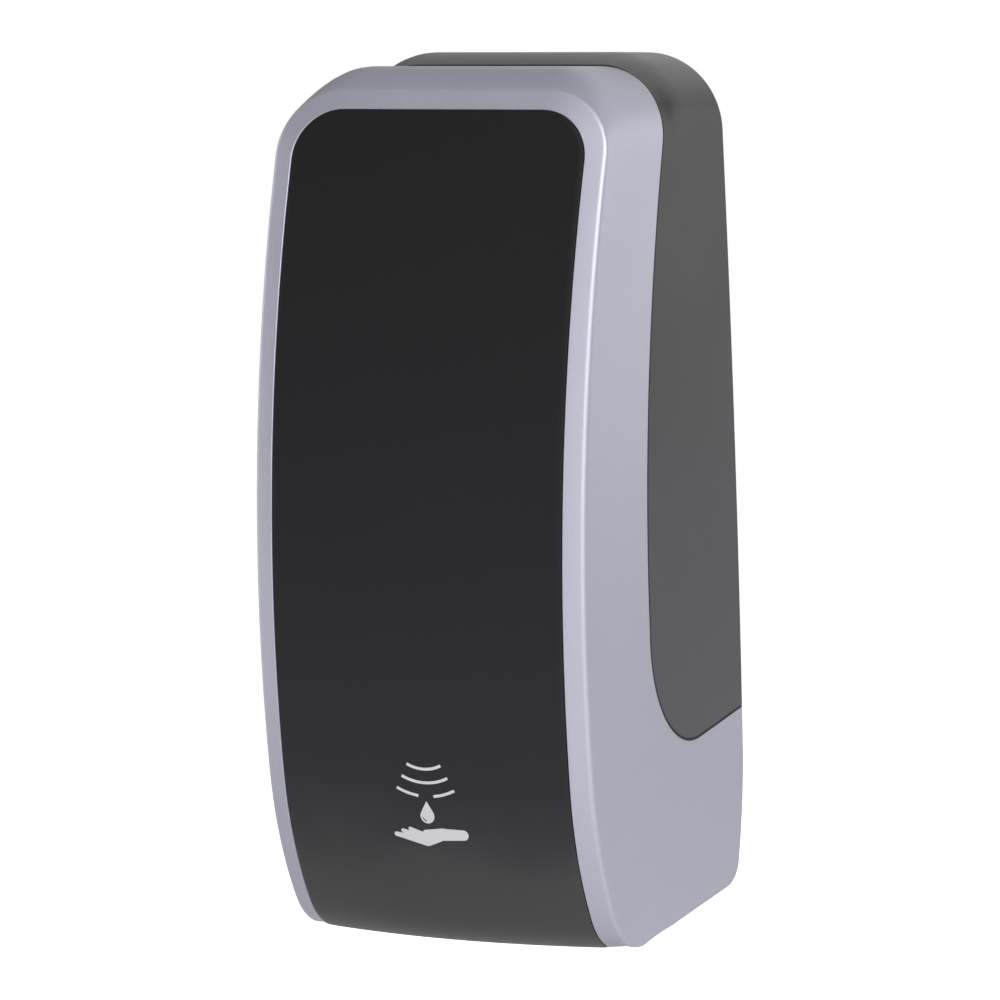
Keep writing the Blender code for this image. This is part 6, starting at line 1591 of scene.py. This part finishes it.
@dataclass(frozen=True)
class Screw:
    """Pan-head screw with a cross recess, in the place of a plain CAD screw.

    The point and the root are shares of the shank's radius, the thread's corners and run-out of
    its pitch, and the rest of the head's radius and height.
    """

    node: str
    axis: Axis
    head_towards: int
    sides: int = 24
    crisp: float = 28.0
    rim: float = 0.9
    root: float = 0.72
    point: float = 0.4
    thread_start: float = 0.6
    pitch: float = 0.9 * MM
    corners: tuple[float, float, float] = (0.35, 0.45, 0.8)
    run_out: float = 0.3
    head_edge: float = 0.15 * MM
    head_side: float = 0.45
    head_shoulder: Pair = (0.86, 0.82)
    head_crown: Pair = (0.6, 0.02)
    head_flat: float = 0.3
    recess_reach: float = 0.62
    recess_half: float = 0.14
    recess_depth: float = 0.62
    recess_offset: float = 0.01
    recess_over: float = 1.1

    def _off_axis(self, offset: Vector) -> float:
        """Distance from the screw's axis of a point at an offset from its centre."""
        return math.hypot(*(offset[k] for k in range(3) if k != self.axis.value))

    def _profile(self, shank: float, head: float, neck: float, length: float) -> list[Pair]:
        """Side view of half the screw.

        Args:
            shank: Radius of the shank.
            head: Radius of the head.
            neck: Place of the head's underside along the screw.
            length: Length of the screw.

        Returns:
            Radius and place of its points, from the point to the head.
        """
        tall = length - neck
        root = shank * self.root
        rise, crest, fall = self.corners
        profile = [(0.0, 0.0), (root, self.point * shank)]
        along = self.thread_start * shank
        while along + self.pitch < neck - self.run_out * self.pitch:
            profile += [(root, along), (shank, along + rise * self.pitch),
                        (shank, along + crest * self.pitch), (root, along + fall * self.pitch)]
            along += self.pitch
        return profile + [
            (root, neck), (head - self.head_edge, neck), (head, neck + self.head_edge),
            (head, neck + self.head_side * tall),
            (self.head_shoulder[0] * head, neck + self.head_shoulder[1] * tall),
            (self.head_crown[0] * head, length - self.head_crown[1] * tall),
            (self.head_flat * head, length), (0.0, length)]

    def _recess(self, head: float, tall: float, length: float) -> Shape:
        """Cross that is cut out of the head.

        Args:
            head: Radius of the head.
            tall: Height of the head.
            length: Length of the screw.

        Returns:
            The cross.
        """
        arm, half = self.recess_reach * head, self.recess_half * head
        floor = length - self.recess_depth * tall
        one = Workshop.box((-arm, arm), (-half, half), (floor, length + tall))
        other = Workshop.box((-half, half), (-arm, arm),
                             (floor - self.recess_offset * tall, length + tall * self.recess_over))
        return Workshop.boolean(one, Operation.FUSE, other)

    def build(self, steel: bpy.types.Material) -> None:
        """Turns the screw and cuts its recess.

        Args:
            steel: Its finish.
        """
        letter = self.axis.value
        points = [vert.co for vert in frame["nodes"][self.node].data.vertices]
        low = Vector([min(point[k] for point in points) for k in range(3)])
        high = Vector([max(point[k] for point in points) for k in range(3)])
        centre = (low + high) / 2
        head = (high.z - low.z) / 2
        wide = [point for point in points if self._off_axis(point - centre) > self.rim * head]
        shank = max(self._off_axis(point - centre) for point in points if point not in wide)
        length = high[letter] - low[letter]
        top = max(self.head_towards * low[letter], self.head_towards * high[letter])
        neck = length - (top - min(self.head_towards * point[letter] for point in wide))
        shape = Workshop.turned(self._profile(shank, head, neck, length), self.sides)
        shape = Workshop.boolean(shape, Operation.CUT,
                                 self._recess(head, length - neck, length))
        direction = Vector((0.0, 0.0, 0.0))
        direction[letter] = self.head_towards
        tip = centre - direction * length / 2
        turn = direction.to_track_quat("Z", "Y").to_matrix().to_4x4()
        bmesh.ops.transform(shape, matrix=Matrix.Translation(tip) @ turn, verts=shape.verts)
        Workshop.piece(f"cross_{self.node}", shape, steel, frame["nodes"][self.node]["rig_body"],
                       "steel", (self.node,), crisp=self.crisp)


@dataclass
class Fasteners:
    """Screws of the rear shell, the chassis and the pump."""

    paint: Paint
    count: int = 4

    def build(self) -> None:
        """Makes the screws."""
        for k in range(1, self.count + 1):
            # The odd ones are on the left, and each head faces the middle of the cover.
            inwards = 1 if k % 2 else -1
            Screw(f"shell_screw_{k}", Axis.ACROSS, inwards).build(self.paint.steel)
            Screw(f"chassis_screw_{k}", Axis.DEPTH, -1).build(self.paint.steel)
            Screw(f"pump_screw_{k}", Axis.DEPTH, -1).build(self.paint.steel)


@dataclass
class PanelPrint:
    """Marks on the control panel: a power sign on the button and dots for the three doses."""

    paint: Paint
    middle: float = 40.5 * MM
    button_height: float = -75.0 * MM
    button_face: float = 61.5 * MM
    panel_face: float = 60.0 * MM
    dose_height: float = -92.0 * MM
    dose_step: float = 3.0 * MM
    dot_across: float = 47.6
    dot_radii: tuple[float, ...] = (0.45, 0.65, 0.85)
    ink_depth: float = 0.05 * MM
    ink_root: float = 0.2 * MM
    ring_radius: float = 2.1 * MM
    ring_half: float = math.radians(145.0)
    line_width: float = 0.5 * MM
    bar: Pair = (0.5 * MM, 2.6 * MM)

    def _ink(self, face: float) -> Pair:
        """Depths between which a mark stands on a face."""
        return face - self.ink_root, face + self.ink_depth

    def build(self) -> None:
        """Makes the marks."""
        span = self._ink(self.button_face)
        half = self.line_width / 2
        ring = Workshop.arc(self.ring_radius, (-self.ring_half, self.ring_half), self.line_width,
                            (self.middle, self.button_height), span)
        bar = Workshop.box((self.middle - half, self.middle + half), span,
                           tuple(self.button_height + end for end in self.bar))
        Workshop.piece("power_sign", Workshop.together([ring, bar]), self.paint.white, "button",
                       "white_plastic")
        span = self._ink(self.panel_face)
        heights = [self.dose_height + step * self.dose_step for step in (-1, 0, 1)]
        dots = [Workshop.stadium(((self.dot_across, height / MM, radius),), span)
                for height, radius in zip(heights, self.dot_radii)]
        Workshop.piece("dose_dots", Workshop.together(dots), self.paint.black, "wall_unit",
                       "black_plastic")


@dataclass(frozen=True)
class Lamp:
    """Rectangular soft lamp that faces the dispenser."""

    name: str
    place: Vector
    size: Pair
    power: float

    def build(self, target: Vector) -> None:
        """Hangs the lamp.

        Args:
            target: Point that it is turned to.
        """
        data = bpy.data.lights.new(self.name, "AREA")
        data.shape, data.size, data.size_y = "RECTANGLE", *self.size
        data.energy = self.power
        thing = hang(self.name, data)
        thing.visible_camera = False
        thing.location = self.place
        thing.rotation_euler = (self.place - target).to_track_quat("Z", "Y").to_euler()


@dataclass
class Studio:
    """Camera, floor, lamps and world."""

    azimuth: float = math.radians(24.0)
    pitch: float = math.radians(5.1)
    distance: float = 1.645
    focal: float = 169.92
    sensor: float = 36.0
    clip: Pair = (0.05, 50.0)
    aim_depth: float = 62.0 * MM
    shift: Pair = (0.0047, -0.013)
    floor_height: float = -0.45
    floor_half: float = 6.0
    floor_tone: float = 0.9
    floor_roughness: float = 0.8
    floor_glow: float = 0.86
    world_light: float = 0.2
    target: Vector = field(default_factory=lambda: Vector((0.0, -0.06, 0.0)))
    lamps: tuple[Lamp, ...] = (
        Lamp("right", Vector((1.6, -0.3, 0.4)), (1.2, 1.4), 5.8),
        Lamp("right_front", Vector((1.5, -1.6, 0.6)), (2.4, 2.0), 30.0),
        Lamp("right_high", Vector((1.3, -1.3, 1.3)), (1.8, 1.2), 10.0),
        Lamp("left", Vector((-1.6, -0.2, 0.2)), (1.2, 1.4), 8.7),
        Lamp("right_up", Vector((1.2, -0.5, 1.2)), (0.9, 0.9), 6.0),
        Lamp("top_front", Vector((0.3, -1.2, 1.5)), (1.2, 1.0), 5.0),
        Lamp("back_high", Vector((0.2, 2.2, 1.3)), (3.0, 1.5), 5.0),
        Lamp("back_left", Vector((-0.98, 2.2, 0.4)), (1.8, 0.8), 2.0),
        Lamp("back_right", Vector((1.1, 2.1, 0.3)), (1.0, 1.0), 3.8))

    def build_camera(self) -> None:
        """Camera at the photograph's angle."""
        data = bpy.data.cameras.new("camera")
        data.lens, data.sensor_width = self.focal, self.sensor
        data.shift_x, data.shift_y = self.shift
        data.clip_start, data.clip_end = self.clip
        camera = hang("camera", data)
        back = Vector((math.sin(self.azimuth) * math.cos(self.pitch),
                       -math.cos(self.azimuth) * math.cos(self.pitch), math.sin(self.pitch)))
        camera.location = spot(0.0, self.aim_depth, 0.0) + back * self.distance
        camera.rotation_euler = back.to_track_quat("Z", "Y").to_euler()
        bpy.context.scene.camera = camera

    def build_world(self) -> None:
        """Plain world: white to the camera and a soft grey to the object."""
        world = bpy.data.worlds.new("world")
        world.use_nodes = True
        tree = world.node_tree
        tree.nodes.clear()
        rays = tree.nodes.new("ShaderNodeLightPath")
        seen = tree.nodes.new("ShaderNodeBackground")
        lit = tree.nodes.new("ShaderNodeBackground")
        for node, strength in ((seen, 1.0), (lit, self.world_light)):
            node.inputs["Color"].default_value = (*WHITE, 1.0)
            node.inputs["Strength"].default_value = strength
        mix = tree.nodes.new("ShaderNodeMixShader")
        out = tree.nodes.new("ShaderNodeOutputWorld")
        tree.links.new(rays.outputs["Is Camera Ray"], mix.inputs[0])
        tree.links.new(lit.outputs[0], mix.inputs[1])
        tree.links.new(seen.outputs[0], mix.inputs[2])
        tree.links.new(mix.outputs[0], out.inputs["Surface"])
        bpy.context.scene.world = world

    def build_floor(self) -> None:
        """Pale floor well under the dispenser, white to the camera."""
        shape = bmesh.new()
        bmesh.ops.create_grid(shape, x_segments=2, y_segments=2, size=self.floor_half,
                              matrix=Matrix.Translation((0.0, 0.0, self.floor_height)))
        mesh = mesh_of("floor", shape)
        shading = Shading("floor")
        shading.put("Base Color", (self.floor_tone, self.floor_tone, self.floor_tone))
        shading.put("Roughness", self.floor_roughness)
        shading.put("Emission Color", WHITE)
        rays = shading.tree.nodes.new("ShaderNodeLightPath")
        shading.feed("Emission Strength", shading.level(rays.outputs["Is Camera Ray"], 0.0,
                                                        self.floor_glow))
        mesh.materials.append(shading.material)
        floor = hang("floor", mesh)

    def build(self) -> None:
        """Makes the studio."""
        self.build_camera()
        self.build_world()
        self.build_floor()
        for lamp in self.lamps:
            lamp.build(self.target)
        bpy.context.scene.view_settings.view_transform = "Standard"


def main() -> None:
    """Builds the studio and the dispenser, in order."""
    logging.basicConfig(level=logging.INFO, format="%(message)s")
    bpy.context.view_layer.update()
    Studio().build()
    paint = Paint()
    Inside(paint).build()
    Fasteners(paint).build()
    PanelPrint(paint).build()
    Cover(CoverForm(), paint).build()


if __name__ == "__main__":
    main()
